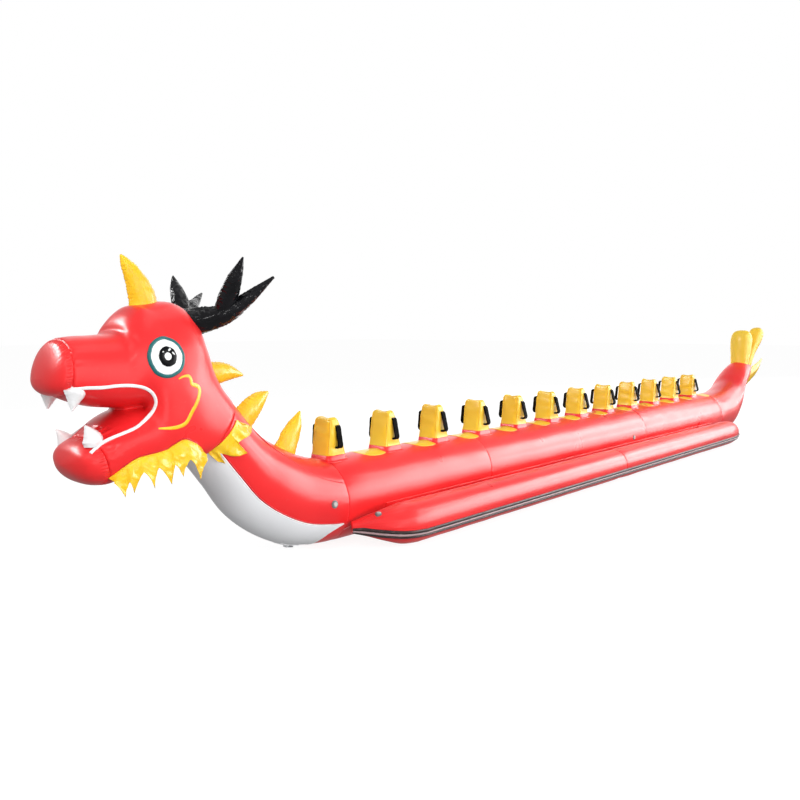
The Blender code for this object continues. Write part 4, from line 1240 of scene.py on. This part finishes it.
STRAKE_PROFILE = (
    (-0.035, -0.003), (-0.035, 0.003), (-0.033, 0.0065), (-0.026, 0.0105), (-0.019, 0.0105), (-0.016, 0.0065),
    (-0.010, 0.0060), (0.010, 0.0060), (0.016, 0.0065), (0.019, 0.0105), (0.026, 0.0105),
    (0.033, 0.0065), (0.035, 0.003), (0.035, -0.003), (0.012, -0.004), (-0.012, -0.004),
)
RIB_PROFILE = (
    (-0.0085, 0.004), (-0.0075, 0.0095), (-0.004, 0.0125), (0.004, 0.0125), (0.0075, 0.0095), (0.0085, 0.004),
)
# a dark red strip below the strake: painted shade along its lower edge
STRAKE_SHADE_PROFILE = (
    (0.040, -0.001), (0.041, 0.0022), (0.047, 0.0030), (0.053, 0.0022), (0.054, -0.001), (0.047, -0.002),
)


def pontoon_rows():
    """Rows along a pontoon, closely spaced near the seam in its middle."""
    nose = catmull(PONTOON_NOSE, np.linspace(0, len(PONTOON_NOSE) - 1, 33))
    stern = catmull(PONTOON_STERN, np.linspace(0, len(PONTOON_STERN) - 1, 41))
    far = np.linspace(STRAIGHT_START, STRAIGHT_END, 54)[1:-1]
    far = far[np.abs(far - PONTOON_SEAM) > SEAM_CLEARANCE]
    near = (np.linspace(-0.150, -0.015, 14), np.linspace(-0.012, 0.012, 9), np.linspace(0.015, 0.150, 14))
    stations = np.sort(np.concatenate((far, PONTOON_SEAM + np.concatenate(near))))
    height = PONTOON_AXIS + STRAIGHT_LIFT
    straight = [(station, PONTOON_OFFSET, height, PONTOON_RADIUS) for station in stations]
    return np.concatenate((nose, straight, stern, PONTOON_TIP))


def pontoon(label, side):
    """A pontoon's skin, puckered at its middle seam and pleated at its nose and stern."""
    rows = pontoon_rows()
    rows[:, 1] *= side
    station, radius = rows[:, 0:1], rows[:, 3:4]
    full = np.concatenate((rows, radius), 1)
    angles = ring_angles(PONTOON_SIDES)
    grid = tube_grid(full, angles, side)
    gap = np.abs(station - PONTOON_SEAM)
    wave = np.sin(23 * angles + 1.0) + 0.8 * np.sin(37 * angles + 2.0)
    move = -SEAM_NOTCH * np.exp(-(gap / 0.004) ** 2) - SEAM_DIP * np.exp(-gap / 0.04)
    move = move + SEAM_PUCKER * wave * np.exp(-gap / 0.03)
    ends = np.clip((0.30 - station) / 0.3, 0, 1) + np.clip((station - 6.62) / 0.25, 0, 1)
    pleat = np.sin(17 * angles + 0.5) * 0.6 + np.sin(29 * angles)
    move = move + PLEAT_DEPTH * pleat * ends * np.clip(radius / 0.1, 0, 1)
    move = move + PONTOON_SAG * ripple(grid, PONTOON_SAG_LENGTH, 150 + side)
    closed_body("pontoon_skin_" + label, grid + grid_normals(grid) * move[..., None], RED, "red_pvc",
                ["pontoon_" + label])
    return full


def rub_strake(label, side, rows):
    """The strake along a pontoon's outer side: a dark band, a pale rib on it and a dark red strip below that
    paints the shade under it.
    """
    rows = rows[rows[:, 3] > STRAKE_MIN_RADIUS]
    centres, out, up = tube_frame(rows, side)
    for name, profile, material, slot, replaces, flat_angle in (
            ("rub_band_", STRAKE_PROFILE, STRAKE_RUBBER, "dark_rubber", ["rub_strake_" + label], 35),
            ("rub_rib_", RIB_PROFILE, STRAKE_RIB, "dark_rubber", (), 50),
            ("rub_shade_line_", STRAKE_SHADE_PROFILE, DEEP_RED, "red_pvc", (), 50)):
        rings = []
        for along, reach in profile:
            turn = STRAKE_TURN + 0.90 * along / np.maximum(rows[:, 3], 0.06)
            size = rows[:, 3] + reach
            rings.append(centres + out * (size * np.sin(turn))[:, None] + up * (size * np.cos(turn))[:, None])
        closed_body(name + label, np.stack(rings, axis=1), material, slot, replaces, flat_angle)


WEB_SAG = 0.006
WEB_THICKNESS = 0.0032
WEB_RIPPLE = 0.0022
WEB_RIPPLE_PITCH = 0.31
FLANGE_LIFT = 0.0018
HULL_FLANGE = (-0.14, -0.02)
PONTOON_FLANGE = (0.04, 0.28)
SEAM_BEAD = (0.009, 0.0030)
WEB_STATIONS = np.concatenate((np.linspace(0.300, 0.34, 5), np.linspace(0.40, 6.60, 60),
                               np.linspace(6.66, 6.70, 5)))
TOE_STATIONS = (-0.085, -0.043, 0.05, 0.139, 0.25, 0.31)
TOE_HEIGHTS = (0.120, 0.135, 0.150, 0.166, 0.190, 0.215)


def join_web(label, side):
    """The curved strip welded between hull and pontoon, a flange on each, with a bead over each weld."""
    slope = np.array((PONTOON_OFFSET, PONTOON_AXIS - HULL_AXIS))
    slope = slope / np.linalg.norm(slope)
    hull_turn = math.atan2(slope[0], slope[1])
    tube_turn = math.atan2(-slope[0], -slope[1])

    def flange(offset, height, radius, turns):
        """Offsets and heights of points round a tube, just above its skin."""
        radius = radius + FLANGE_LIFT
        return np.stack((offset + radius * np.sin(turns), height + radius * np.cos(turns)), 1)

    hull_turns = np.linspace(hull_turn + HULL_FLANGE[0], hull_turn + HULL_FLANGE[1], 5)
    tube_turns = np.linspace(tube_turn + PONTOON_FLANGE[0], tube_turn + PONTOON_FLANGE[1], 5)
    near = flange(0.0, HULL_AXIS, HULL_RADIUS, hull_turns)
    far = flange(PONTOON_OFFSET, PONTOON_AXIS, PONTOON_RADIUS, tube_turns)
    share = np.linspace(0, 1, 9)[1:-1, None]
    between = near[-1] + (far[0] - near[-1]) * share
    between[:, 1] -= WEB_SAG * np.sin(np.pi * share[:, 0])
    line = np.concatenate((near, between, far))
    middle = np.exp(-((np.arange(len(line)) - 8.0) / 3.0) ** 2)
    height = line[:, 1] + WEB_RIPPLE * np.sin(WEB_STATIONS * TAU / WEB_RIPPLE_PITCH)[:, None] * middle
    grid = at(WEB_STATIONS[:, None], side * line[:, 0], height)
    normals = grid_normals(grid, wrap=False)
    normals = normals * np.sign(normals[..., 2].sum())
    sheet_body("web_strip_" + label, grid, normals, WEB_THICKNESS, RED, "red_pvc", ["joining_web_" + label])
    # the pontoon's weld bead is pink, a painted highlight along the web's edge
    for column, name, colour in ((0, "hull_weld_", RED), (-1, "pontoon_weld_", PINK_HIGHLIGHT_WELD)):
        bead(name + label, grid[:, column], normals[:, column], *SEAM_BEAD, colour, "red_pvc")
    toe = smooth_path(at(TOE_STATIONS, 0.0, TOE_HEIGHTS), 0.02)
    toe[:, 1] = side * np.sqrt(HULL_RADIUS ** 2 - (toe[:, 2] - HULL_AXIS) ** 2)
    out = (toe - np.array((0.0, 0.0, HULL_AXIS))) * np.array((0.0, 1.0, 1.0))
    # pink here too: a weld bead coloured as a painted highlight
    bead("nose_weld_" + label, toe, out, *SEAM_BEAD, PINK_HIGHLIGHT_WELD, "red_pvc")


for label, side in SIDES:
    rub_strake(label, side, pontoon(label, side))
    join_web(label, side)

# grip blocks, handles and seat patches

# height, shift aft, half length, half width

BLOCK_ROWS = (
    (0.560, 0.0155, 0.0960, 0.0975),
    (0.608, 0.0140, 0.0905, 0.0945),
    (0.660, 0.0112, 0.0790, 0.0905),
    (0.740, 0.0060, 0.0640, 0.0890),
    (0.800, 0.0020, 0.0535, 0.0880),
    (0.845, -0.0015, 0.0435, 0.0868),
    (0.862, -0.0030, 0.0395, 0.0840),
    (0.873, -0.0040, 0.0365, 0.0805),
)
BLOCK_FULLNESS = 7.0
BLOCK_SIDES = 100
TOP_RISE = 0.0125
TOP_SADDLE = 0.0075
EAR_HEIGHT = 0.0045
EAR_OFFSET = 0.060
FRONT_BULGE = 0.0060
FLANK_BULGE = 0.0026
CORNER_WELT = 0.0016
CORNER_PUCKER = 0.0009
CORNER_PUCKER_PITCH = 0.019
CORNER_VALLEY = 0.0016
BLOCK_SOFTNESS = 0.0018
BLOCK_FOLDS = 0.0010
FOOT_SLUMP = 0.0016
TOP_SCALES = (0.985, 0.955, 0.91, 0.85, 0.78, 0.70, 0.61, 0.52, 0.42, 0.32, 0.22, 0.12, 0.04)

# how far the top and the middle of a strap stand out, as shares of the block's bow, and its shift aft

STRAP_SLACK = {"port": (0.26, 1.0, 0.018), "starboard": (0.75, 1.0, -0.006)}
STRAP_ROOT = 0.076
STRAP_FLANK = 0.088
STRAP_STEPS = 76
STRAP_ROUNDS = 7
STRAP_HALF_WIDTH = 0.023
STRAP_HALF_THICKNESS = 0.0065
STRAP_PROFILE = (
    (-1.0, 0.0), (-0.985, 0.6), (-0.93, 0.92), (-0.80, 1.06), (-0.60, 0.96), (-0.3, 1.02), (0.0, 0.98),
    (0.3, 1.02), (0.60, 0.96), (0.80, 1.06), (0.93, 0.92), (0.985, 0.6), (1.0, 0.0), (0.985, -0.6),
    (0.93, -0.92), (0.5, -1.0), (0.0, -1.0), (-0.5, -1.0), (-0.93, -0.92), (-0.985, -0.6),
)
SKIRT_SIDES = 96
SKIRT_FULLNESS = 6.0
SKIRT_HALF_LENGTH = 0.0915
SKIRT_HALF_WIDTH = 0.0950
SKIRT_SHIFT = 0.0142
SKIRT_LEAST_WALL = 0.012

# growth beyond the block's foot, height, and whether that height is above the hull's skin

SKIRT_PROFILE = (
    (-0.005, 0.619, 0), (-0.0015, 0.6215, 0), (0.0015, 0.6205, 0), (0.0036, 0.6180, 0),
    (0.0066, 0.0100, 1), (0.0090, 0.0052, 1), (0.0140, 0.0034, 1), (0.0185, 0.0028, 1),
    (0.0200, 0.0016, 1), (0.0206, -0.0020, 1), (0.0100, -0.0050, 1), (-0.004, -0.0050, 1),
)
WELT_INSET = 0.965
WELT_SPACING = 0.0085
BLOCK_MIDDLE = 0.76

# the welt over a block's ear: place along, across and up

EAR_WELT = ((0.030, 0.0720, 0.8790), (0.022, 0.0655, 0.8880), (0.010, 0.0630, 0.8905), (0.0, 0.0625, 0.8908))


def rounded_square(angles, fullness):
    """Shares of the half length and the half width round a full, square-cornered ring."""
    return signed_power(np.cos(angles), 2.0 / fullness), signed_power(np.sin(angles), 2.0 / fullness)


def corner_angles(count):
    """Angles crowded towards the four corners of a ring."""
    turn = ring_angles(count)
    return turn + 0.17 * np.sin(4 * turn)


def block_grid(seed):
    """A grip block about its own centre: a wedge with flat flanks, soft shoulders and a saddle top."""
    rows = catmull(BLOCK_ROWS, np.linspace(0, len(BLOCK_ROWS) - 1, 50))
    along, across = rounded_square(corner_angles(BLOCK_SIDES), BLOCK_FULLNESS)
    rings = []
    for height, shift, half_length, half_width in rows:
        z = np.full(BLOCK_SIDES, height)
        rings.append(np.stack((along * half_length - shift, across * half_width, z), 1))
    for scale in TOP_SCALES:
        y = across * half_width * scale
        ear = EAR_HEIGHT * np.exp(-((np.abs(y) - EAR_OFFSET) / 0.013) ** 2) * (1 - scale ** 9)
        saddle = TOP_SADDLE * np.exp(-(y / 0.034) ** 2)
        z = height + (TOP_RISE - saddle) * (1 - scale ** 7) + ear
        rings.append(np.stack((along * half_length * scale - shift, y, z), 1))
    grid = np.array(rings)
    normals = grid_normals(grid)
    level = grid[..., 2]
    rise = np.clip((level - 0.60) / 0.27, 0, 1)
    front = np.clip(1 - (grid[..., 1] / 0.074) ** 2, 0, 1) * (np.abs(normals[..., 0]) > 0.6)
    flank = np.clip(1 - (grid[..., 0] / 0.060) ** 2, 0, 1) * (np.abs(normals[..., 1]) > 0.6)
    bulge = FRONT_BULGE * front * np.sin(np.pi * rise) + FLANK_BULGE * flank * np.sin(np.pi * rise)
    corner = np.abs(np.abs(along) - np.abs(across))[None, :]
    welt = CORNER_WELT * np.exp(-(corner / 0.05) ** 2) * (level < 0.878)
    pucker = CORNER_PUCKER * np.sin(level * TAU / CORNER_PUCKER_PITCH + seed) * np.exp(-(corner / 0.22) ** 2)
    valley = -CORNER_VALLEY * np.exp(-((corner - 0.10) / 0.05) ** 2) * (level < 0.872)
    soft = BLOCK_SOFTNESS * ripple(grid, 0.085, 160 + seed)
    soft = soft + BLOCK_FOLDS * (fold(grid, 0.060, 170 + seed) - 0.4)
    slump = FOOT_SLUMP * np.exp(-((level - 0.615) / 0.010) ** 2)
    fade = np.clip(np.linalg.norm(grid[..., :2], axis=-1) / 0.02, 0, 1)
    return grid + normals * ((bulge + welt + pucker + valley + soft + slump) * fade)[..., None]


def strap(name, station, side, top_bow, bow):
    """A thick webbing strap: out of the flank near its top, straight down and out, and in again below."""
    corners = np.array((
        (STRAP_ROOT, 0.676),
        (STRAP_FLANK + 0.78 * bow, 0.674),
        (STRAP_FLANK + 0.0005 + 1.02 * bow, 0.692),
        (STRAP_FLANK + 0.5 * (bow + top_bow), 0.756),
        (STRAP_FLANK + top_bow, 0.822),
        (STRAP_ROOT, 0.834),
    ))
    run = path_run(corners)
    want = np.linspace(0, run[-1], STRAP_STEPS)
    line = evened(np.stack([np.interp(want, run, column) for column in corners.T], 1), STRAP_ROUNDS)
    path = at(station, side * line[:, 0], line[:, 1])
    lengthwise = np.array((1.0, 0.0, 0.0))
    thick = STRAP_HALF_THICKNESS * unit(np.cross(unit(np.gradient(path, axis=0)), lengthwise))
    half_width = STRAP_HALF_WIDTH * (1 + 0.02 * np.sin(want * TAU / 0.05 + station))[:, None]
    ring = np.stack([path + lengthwise * half_width * u + thick * v for u, v in STRAP_PROFILE], axis=1)
    closed_body(name, ring, BLACK_WEBBING, "black_vinyl", (), 50)


def block_base(name, station):
    """The red welded skirt that carries a block: a short wall and a flange that follows the hull."""
    sides = SKIRT_SIDES
    along, across = rounded_square(corner_angles(sides), SKIRT_FULLNESS)
    rings = []
    for grow, lift, on_hull in SKIRT_PROFILE:
        y = across * (SKIRT_HALF_WIDTH + grow)
        skin = HULL_AXIS + np.sqrt(HULL_RADIUS ** 2 - y ** 2)
        z = skin + lift if on_hull else np.maximum(lift, skin + SKIRT_LEAST_WALL)
        rings.append(at(station + SKIRT_SHIFT - along * (SKIRT_HALF_LENGTH + grow), y, z))
    count = len(rings)
    faces = grid_faces(count, sides)
    last = (count - 1) * sides
    faces += [(side, (side + 1) % sides, last + (side + 1) % sides, last + side) for side in range(sides)]
    mesh_piece(name, np.array(rings), faces, RED, "red_pvc", (), 60)


def welt_line(name, grid, station, side):
    """The welded seam round a flank: up the front corner, along the ear and down the rear corner."""
    rows = catmull(BLOCK_ROWS, np.linspace(1.15, len(BLOCK_ROWS) - 1.05, 24))
    legs = []
    for end in (1, -1):
        leg = [(end * row[2] * WELT_INSET - row[1], side * row[3] * WELT_INSET, row[0]) for row in rows]
        legs.append(leg + [(end * x + 0.004, side * y, z) for x, y, z in EAR_WELT])
    line = smooth_path(legs[0] + legs[1][-2::-1], WELT_SPACING)
    out = line - np.array((0.0, 0.0, BLOCK_MIDDLE))
    tree = BVHTree.FromPolygons([Vector(point) for point in grid.reshape(-1, 3)], grid_faces(*grid.shape[:2]))
    points = []
    normals = []
    for point, way in zip(line, out):
        found, normal, _, _ = tree.find_nearest(Vector(point))
        points.append(found)
        normals.append(normal if normal.dot(Vector(way)) > 0 else -normal)
    points, normals = evened(points, 1), evened(normals, 1)
    points[:, 0] += FIRST_BLOCK_X - station
    bead(name, points, normals + 0.2 * unit(out), 0.0052, 0.0022, YELLOW, "yellow_pvc", 0.002)


def grip_block(number, station):
    """A padded block with its skirt, the welts of its flanks and its two straps."""
    name = "grip_block_%02d" % number
    grid = block_grid(number)
    placed = grid + np.array((FIRST_BLOCK_X - station, 0.0, 0.0))
    pad = closed_body("grip_pad_%02d" % number, placed, YELLOW, "yellow_pvc", [name])
    block_base("grip_skirt_%02d" % number, station)
    for label, side in SIDES:
        welt_line("grip_welt_%02d_%s" % (number, label), grid, station, side)
        top_share, share, place = STRAP_SLACK[label]
        bow = HANDLE_BOW[number - 1]
        strap("grip_strap_%02d_%s" % (number, label), station + place, side, top_share * bow, share * bow)


SEAT_PATCH_SIDES = 96
SEAT_PATCH_STATION = 0.428
SEAT_PATCH_AFT_LIMIT = 0.080
SEAT_PATCH_HALF_LENGTH = 0.158
SEAT_PATCH_HALF_WIDTH = 0.124

# scale and height above the hull's skin

PATCH_PROFILE = (
    (0.02, 0.0018), (0.2, 0.0019), (0.4, 0.0018), (0.6, 0.0019), (0.8, 0.0020), (0.92, 0.0022),
    (0.955, 0.0030), (0.975, 0.0034), (0.992, 0.0026), (1.0, 0.0010), (0.99, -0.0030), (0.5, -0.0030),
    (0.02, -0.0030),
)


def seat_patch(number, station):
    """A thin rounded wear patch welded to the hull's back, its aft end tucked against the next block."""
    angles = ring_angles(SEAT_PATCH_SIDES)
    rng = np.random.default_rng(200 + number)
    wobble = 0.020 * np.sin(2 * angles + rng.uniform(0, TAU))
    wobble = wobble + 0.010 * np.sin(5 * angles + rng.uniform(0, TAU))
    rings = []
    for scale, lift in PATCH_PROFILE:
        reach = scale * (1 + wobble)
        x = SEAT_PATCH_HALF_LENGTH * reach * signed_power(np.cos(angles), 0.9)
        x = np.maximum(x, -SEAT_PATCH_AFT_LIMIT * (0.9 + 0.1 * scale))
        turn = SEAT_PATCH_HALF_WIDTH * reach * signed_power(np.sin(angles), 0.9) / HULL_RADIUS
        radius = HULL_RADIUS + lift + 0.0004 * np.sin(9 * angles + number) * scale
        rings.append(at(station - x, radius * np.sin(turn), HULL_AXIS + radius * np.cos(turn)))
    closed_body("seat_patch_%02d" % number, np.array(rings), YELLOW, "yellow_pvc")


for number in range(1, BLOCK_COUNT + 1):
    grip_block(number, (number - 1) * BLOCK_PITCH)
    seat_patch(number, (number - 1) * BLOCK_PITCH + SEAT_PATCH_STATION)

# tail

PETAL_LOOK = dict(crumple=0.0020, flange=0.0025, fullness=2.1, seam_turn=math.pi / 2)

vinyl_form("tail_lobe_centre", TAIL_PETAL_CENTRE, YELLOW, "yellow_pvc", 210, ["tail_petal_centre"],
           sides=84, pitch=0.045, **PETAL_LOOK)
for label, side in SIDES:
    rows = mirrored(TAIL_PETAL_AFT, side, 0.0 if side > 0 else STARBOARD_DROOP)
    vinyl_form("tail_lobe_" + label, rows, YELLOW, "yellow_pvc", 212 + side, ["tail_petal_" + label],
               pitch=0.040, **PETAL_LOOK)
    vinyl_form("tail_barb_" + label, mirrored(TAIL_SPUR, side), YELLOW_VINYL, "yellow_pvc", 216 + side,
               ["tail_spur_" + label], crumple=0.0026, pitch=0.030)

# valves and tow fittings

# radius, reach along the axis, and whether the finger lobes show there

VALVE_FLANGE = (
    (0.004, -0.030, 0), (0.0265, -0.030, 0), (0.0272, -0.0055, 0), (0.0270, -0.0042, 0),
    (0.0258, -0.0032, 0), (0.0222, -0.0030, 0), (0.0206, -0.0010, 0), (0.0196, 0.0000, 0),
    (0.0188, -0.0014, 0), (0.0170, -0.0020, 0), (0.001, -0.0020, 0),
)
VALVE_CAP = (
    (0.003, -0.003, 0), (0.0158, -0.003, 1), (0.0164, 0.0012, 1), (0.0160, 0.0026, 1), (0.0144, 0.0036, 1),
    (0.0105, 0.0040, 0), (0.0094, 0.0030, 0), (0.003, 0.0028, 0),
)
VALVE_BAR = ((-1, 0), (-1, 0.8), (-0.6, 1), (0.6, 1), (1, 0.8), (1, 0))
VALVE_REACH = 0.046
BAR_HALF_LENGTH = 0.0088
BAR_HALF_WIDTH = 0.0022
BAR_HEIGHT = 0.0026
CAP_SIDES = 96
CAP_LOBES = 12
CAP_LOBE_DEPTH = 0.0011


def turned(name, centre, axis, profile, material, replaces=(), sides=56):
    """A turned form: rings of radius and reach along an axis, with finger lobes where the profile asks."""
    first = unit(np.cross(axis, (0.0, 0.0, 1.0) if abs(axis[2]) < 0.8 else (1.0, 0.0, 0.0)))
    second = np.cross(axis, first)
    angles = TAU * np.arange(sides) / sides
    rings = []
    for radius, reach, lobed in profile:
        size = radius - lobed * CAP_LOBE_DEPTH * (0.5 + 0.5 * np.cos(CAP_LOBES * angles))
        rings.append(centre + axis * reach + (first * (size * np.cos(angles))[:, None]
                                              + second * (size * np.sin(angles))[:, None]))
    closed_body(name, np.array(rings), material, "valve_plastic", replaces, 40)


def valve(name, station, offset, height, out, rise):
    """A moulded valve: welded flange, collar, and a lobed cap with a raised cross bar."""
    axis = unit(np.array((0.0, out, rise)))
    top = at(station, offset, height) + axis * VALVE_REACH
    turned(name + "_body", top, axis, VALVE_FLANGE, VALVE_RING, [name])
    turned(name + "_cap", top, axis, VALVE_CAP, VALVE_GREY, sides=CAP_SIDES)
    first = unit(np.cross(axis, (1.0, 0.0, 0.0)))
    second = np.cross(axis, first)
    bar = []
    for along in np.linspace(-1, 1, 13):
        width = BAR_HALF_WIDTH * (1 - 0.5 * abs(along) ** 4)
        centre = top + first * (BAR_HALF_LENGTH * along)
        crown = BAR_HEIGHT * (1 - 0.25 * along ** 4)
        bar.append([centre + second * width * u + axis * (BAR_HEIGHT + crown * v) for u, v in VALVE_BAR])
    closed_body(name + "_bar", np.array(bar), VALVE_GREY, "valve_plastic", (), 40)


for row in VALVES:
    valve(*row)

for name, material in (("tow_ring", STEEL), ("tow_patch", WHITE)):
    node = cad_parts[name]
    node.data.materials.clear()
    node.data.materials.append(material)

# floor, lights and camera

# name, place, target, width and height, power, and the rays that meet it

SOFTBOXES = (
    ("port_softbox", (-6.0, 5.5, 4.2), (0.0, 0.0, 0.3), (14.0, 2.0), 260, "all"),
    ("top_softbox", (1.0, -0.5, 7.0), (0.5, 0.0, 0.0), (9.0, 3.0), 60, "all"),
    ("starboard_softbox", (-5.0, -8.0, 2.4), (-2.0, 0.0, 0.6), (24.0, 4.0), 850, "diffuse"),
    ("bow_fill", (10.5, 2.4, 6.0), (4.0, 0.0, 0.9), (4.0, 3.0), 250, "diffuse"),
    ("port_fill", (3.0, 9.0, 3.0), (2.5, 0.0, 0.8), (10.0, 3.5), 540, "diffuse"),
    ("low_fill", (6.4, 5.5, 0.35), (4.2, 0.0, 0.6), (4.0, 0.6), 70, "diffuse"),
    ("crown_softbox", (8.8, -4.4, 5.2), (5.5, 0.0, 1.4), (5.0, 1.1), 420, "glossy"),
    ("strip_softbox", (-9.5, 3.2, 2.7), (-9.5, 0.0, 0.3), (18.0, 3.4), 1050, "glossy"),
    ("low_strip_softbox", (-9.5, 6.4, 1.2), (-9.5, 0.0, 0.3), (18.0, 2.8), 880, "glossy"),
    ("glint_softbox", (8.6, 6.4, 4.8), (4.8, 0.2, 1.4), (1.6, 0.6), 34, "glossy"),
)
FLOOR_HALF = 60
FLOOR_DROP = 0.002
FLOOR_GLOW = 0.90
WORLD_ABOVE = 0.42
WORLD_BELOW = 0.29
WORLD_HORIZON = (-0.35, 0.15)
BACKDROP_WAY = (-0.74, -0.65, 0.17)
BACKDROP_SPREAD = (0.72, 0.98)
BACKDROP_GLOW = 1.5
FOCAL_LENGTH = 36.0
SENSOR_WIDTH = 36.0
CAMERA_AHEAD = 3.9224
CAMERA_OFFSET = 4.1397
CAMERA_HEIGHT = 1.5357
CAMERA_YAW = math.radians(41.2819)
CAMERA_PITCH = math.radians(5.3091)


def stage_floor():
    """A pale floor that glows a little, so that it stays as light as the backdrop and keeps a soft shadow."""
    mesh = bpy.data.meshes.new("studio_floor")
    corners = [(x * FLOOR_HALF, y * FLOOR_HALF, 0) for x, y in ((-1, -1), (1, -1), (1, 1), (-1, 1))]
    mesh.from_pydata(corners, [], [(0, 1, 2, 3)])
    paint = Paint("studio_floor")
    paint.colour(paint.mix(paint.noise(0.6, 3.0), (0.19, 0.19, 0.19), (0.21, 0.21, 0.21)))
    paint.set(Roughness=0.9, Specular_IOR_Level=0.0, Emission_Color=(1.0, 1.0, 1.0, 1.0),
              Emission_Strength=FLOOR_GLOW)
    mesh.materials.append(paint.material)
    floor = bpy.data.objects.new("studio_floor", mesh)
    bpy.context.scene.collection.objects.link(floor)
    floor.location.z = -FLOOR_DROP
    floor.visible_glossy = False
    floor.visible_diffuse = False


def softbox(name, place, target, size, power, rays):
    """A rectangular light; it can be kept out of reflections, or show in reflections alone."""
    data = bpy.data.lights.new(name, "AREA")
    data.shape = "RECTANGLE"
    data.size, data.size_y = size
    data.energy = power
    light = bpy.data.objects.new(name, data)
    light.location = place
    light.rotation_euler = (Vector(target) - Vector(place)).to_track_quat("-Z", "Y").to_euler()
    light.visible_camera = False
    light.visible_glossy = rays != "diffuse"
    light.visible_diffuse = rays != "glossy"
    bpy.context.scene.collection.objects.link(light)


def world_light():
    """A white backdrop that lights the boat more softly than it looks; what mirrors at a flat angle glows."""
    world = bpy.data.worlds.new("studio")
    world.use_nodes = True
    nodes, links = world.node_tree.nodes, world.node_tree.links
    background = nodes["Background"]
    background.inputs["Color"].default_value = (1.0, 1.0, 1.0, 1.0)
    way = nodes.new("ShaderNodeTexCoord").outputs["Generated"]
    split = nodes.new("ShaderNodeSeparateXYZ")
    seen = nodes.new("ShaderNodeLightPath").outputs
    beyond = nodes.new("ShaderNodeVectorMath")
    beyond.operation = "DOT_PRODUCT"
    beyond.inputs[1].default_value = BACKDROP_WAY
    both = nodes.new("ShaderNodeMath")
    both.operation = "MULTIPLY"

    def ramp(value, low, high, start, end):
        """A value mapped to a range whose start is a number or a node's output."""
        made = nodes.new("ShaderNodeMapRange")
        for key, number in (("From Min", low), ("From Max", high), ("To Max", end)):
            made.inputs[key].default_value = number
        if isinstance(start, float):
            made.inputs["To Min"].default_value = start
        else:
            links.new(start, made.inputs["To Min"])
        links.new(value, made.inputs["Value"])
        return made.outputs["Result"]

    links.new(way, split.inputs[0])
    links.new(way, beyond.inputs[0])
    links.new(ramp(beyond.outputs["Value"], *BACKDROP_SPREAD, 0.0, 1.0), both.inputs[0])
    links.new(seen["Is Glossy Ray"], both.inputs[1])
    light = ramp(split.outputs["Z"], *WORLD_HORIZON, WORLD_BELOW, WORLD_ABOVE)
    mirrored_light = ramp(both.outputs["Value"], 0.0, 1.0, light, BACKDROP_GLOW)
    level = ramp(seen["Is Camera Ray"], 0.0, 1.0, mirrored_light, 1.0)
    links.new(level, background.inputs["Strength"])
    bpy.context.scene.world = world


def camera():
    """The photograph's viewpoint, fitted to the boat's outline."""
    data = bpy.data.cameras.new("camera")
    data.lens = FOCAL_LENGTH
    data.sensor_width = SENSOR_WIDTH
    data.clip_end = 200.0
    viewer = bpy.data.objects.new("camera", data)
    level = math.cos(CAMERA_PITCH)
    right = Vector((-math.sin(CAMERA_YAW), math.cos(CAMERA_YAW), 0.0))
    look = Vector((-level * math.cos(CAMERA_YAW), -level * math.sin(CAMERA_YAW), -math.sin(CAMERA_PITCH)))
    turn = Matrix((right, right.cross(look), -look)).transposed().to_4x4()
    place = (FIRST_BLOCK_X + CAMERA_AHEAD, CAMERA_OFFSET, CAMERA_HEIGHT)
    viewer.matrix_world = Matrix.Translation(place) @ turn
    bpy.context.scene.collection.objects.link(viewer)
    bpy.context.scene.camera = viewer


stage_floor()
world_light()
for row in SOFTBOXES:
    softbox(*row)
camera()
bpy.context.scene.view_settings.view_transform = "Standard"
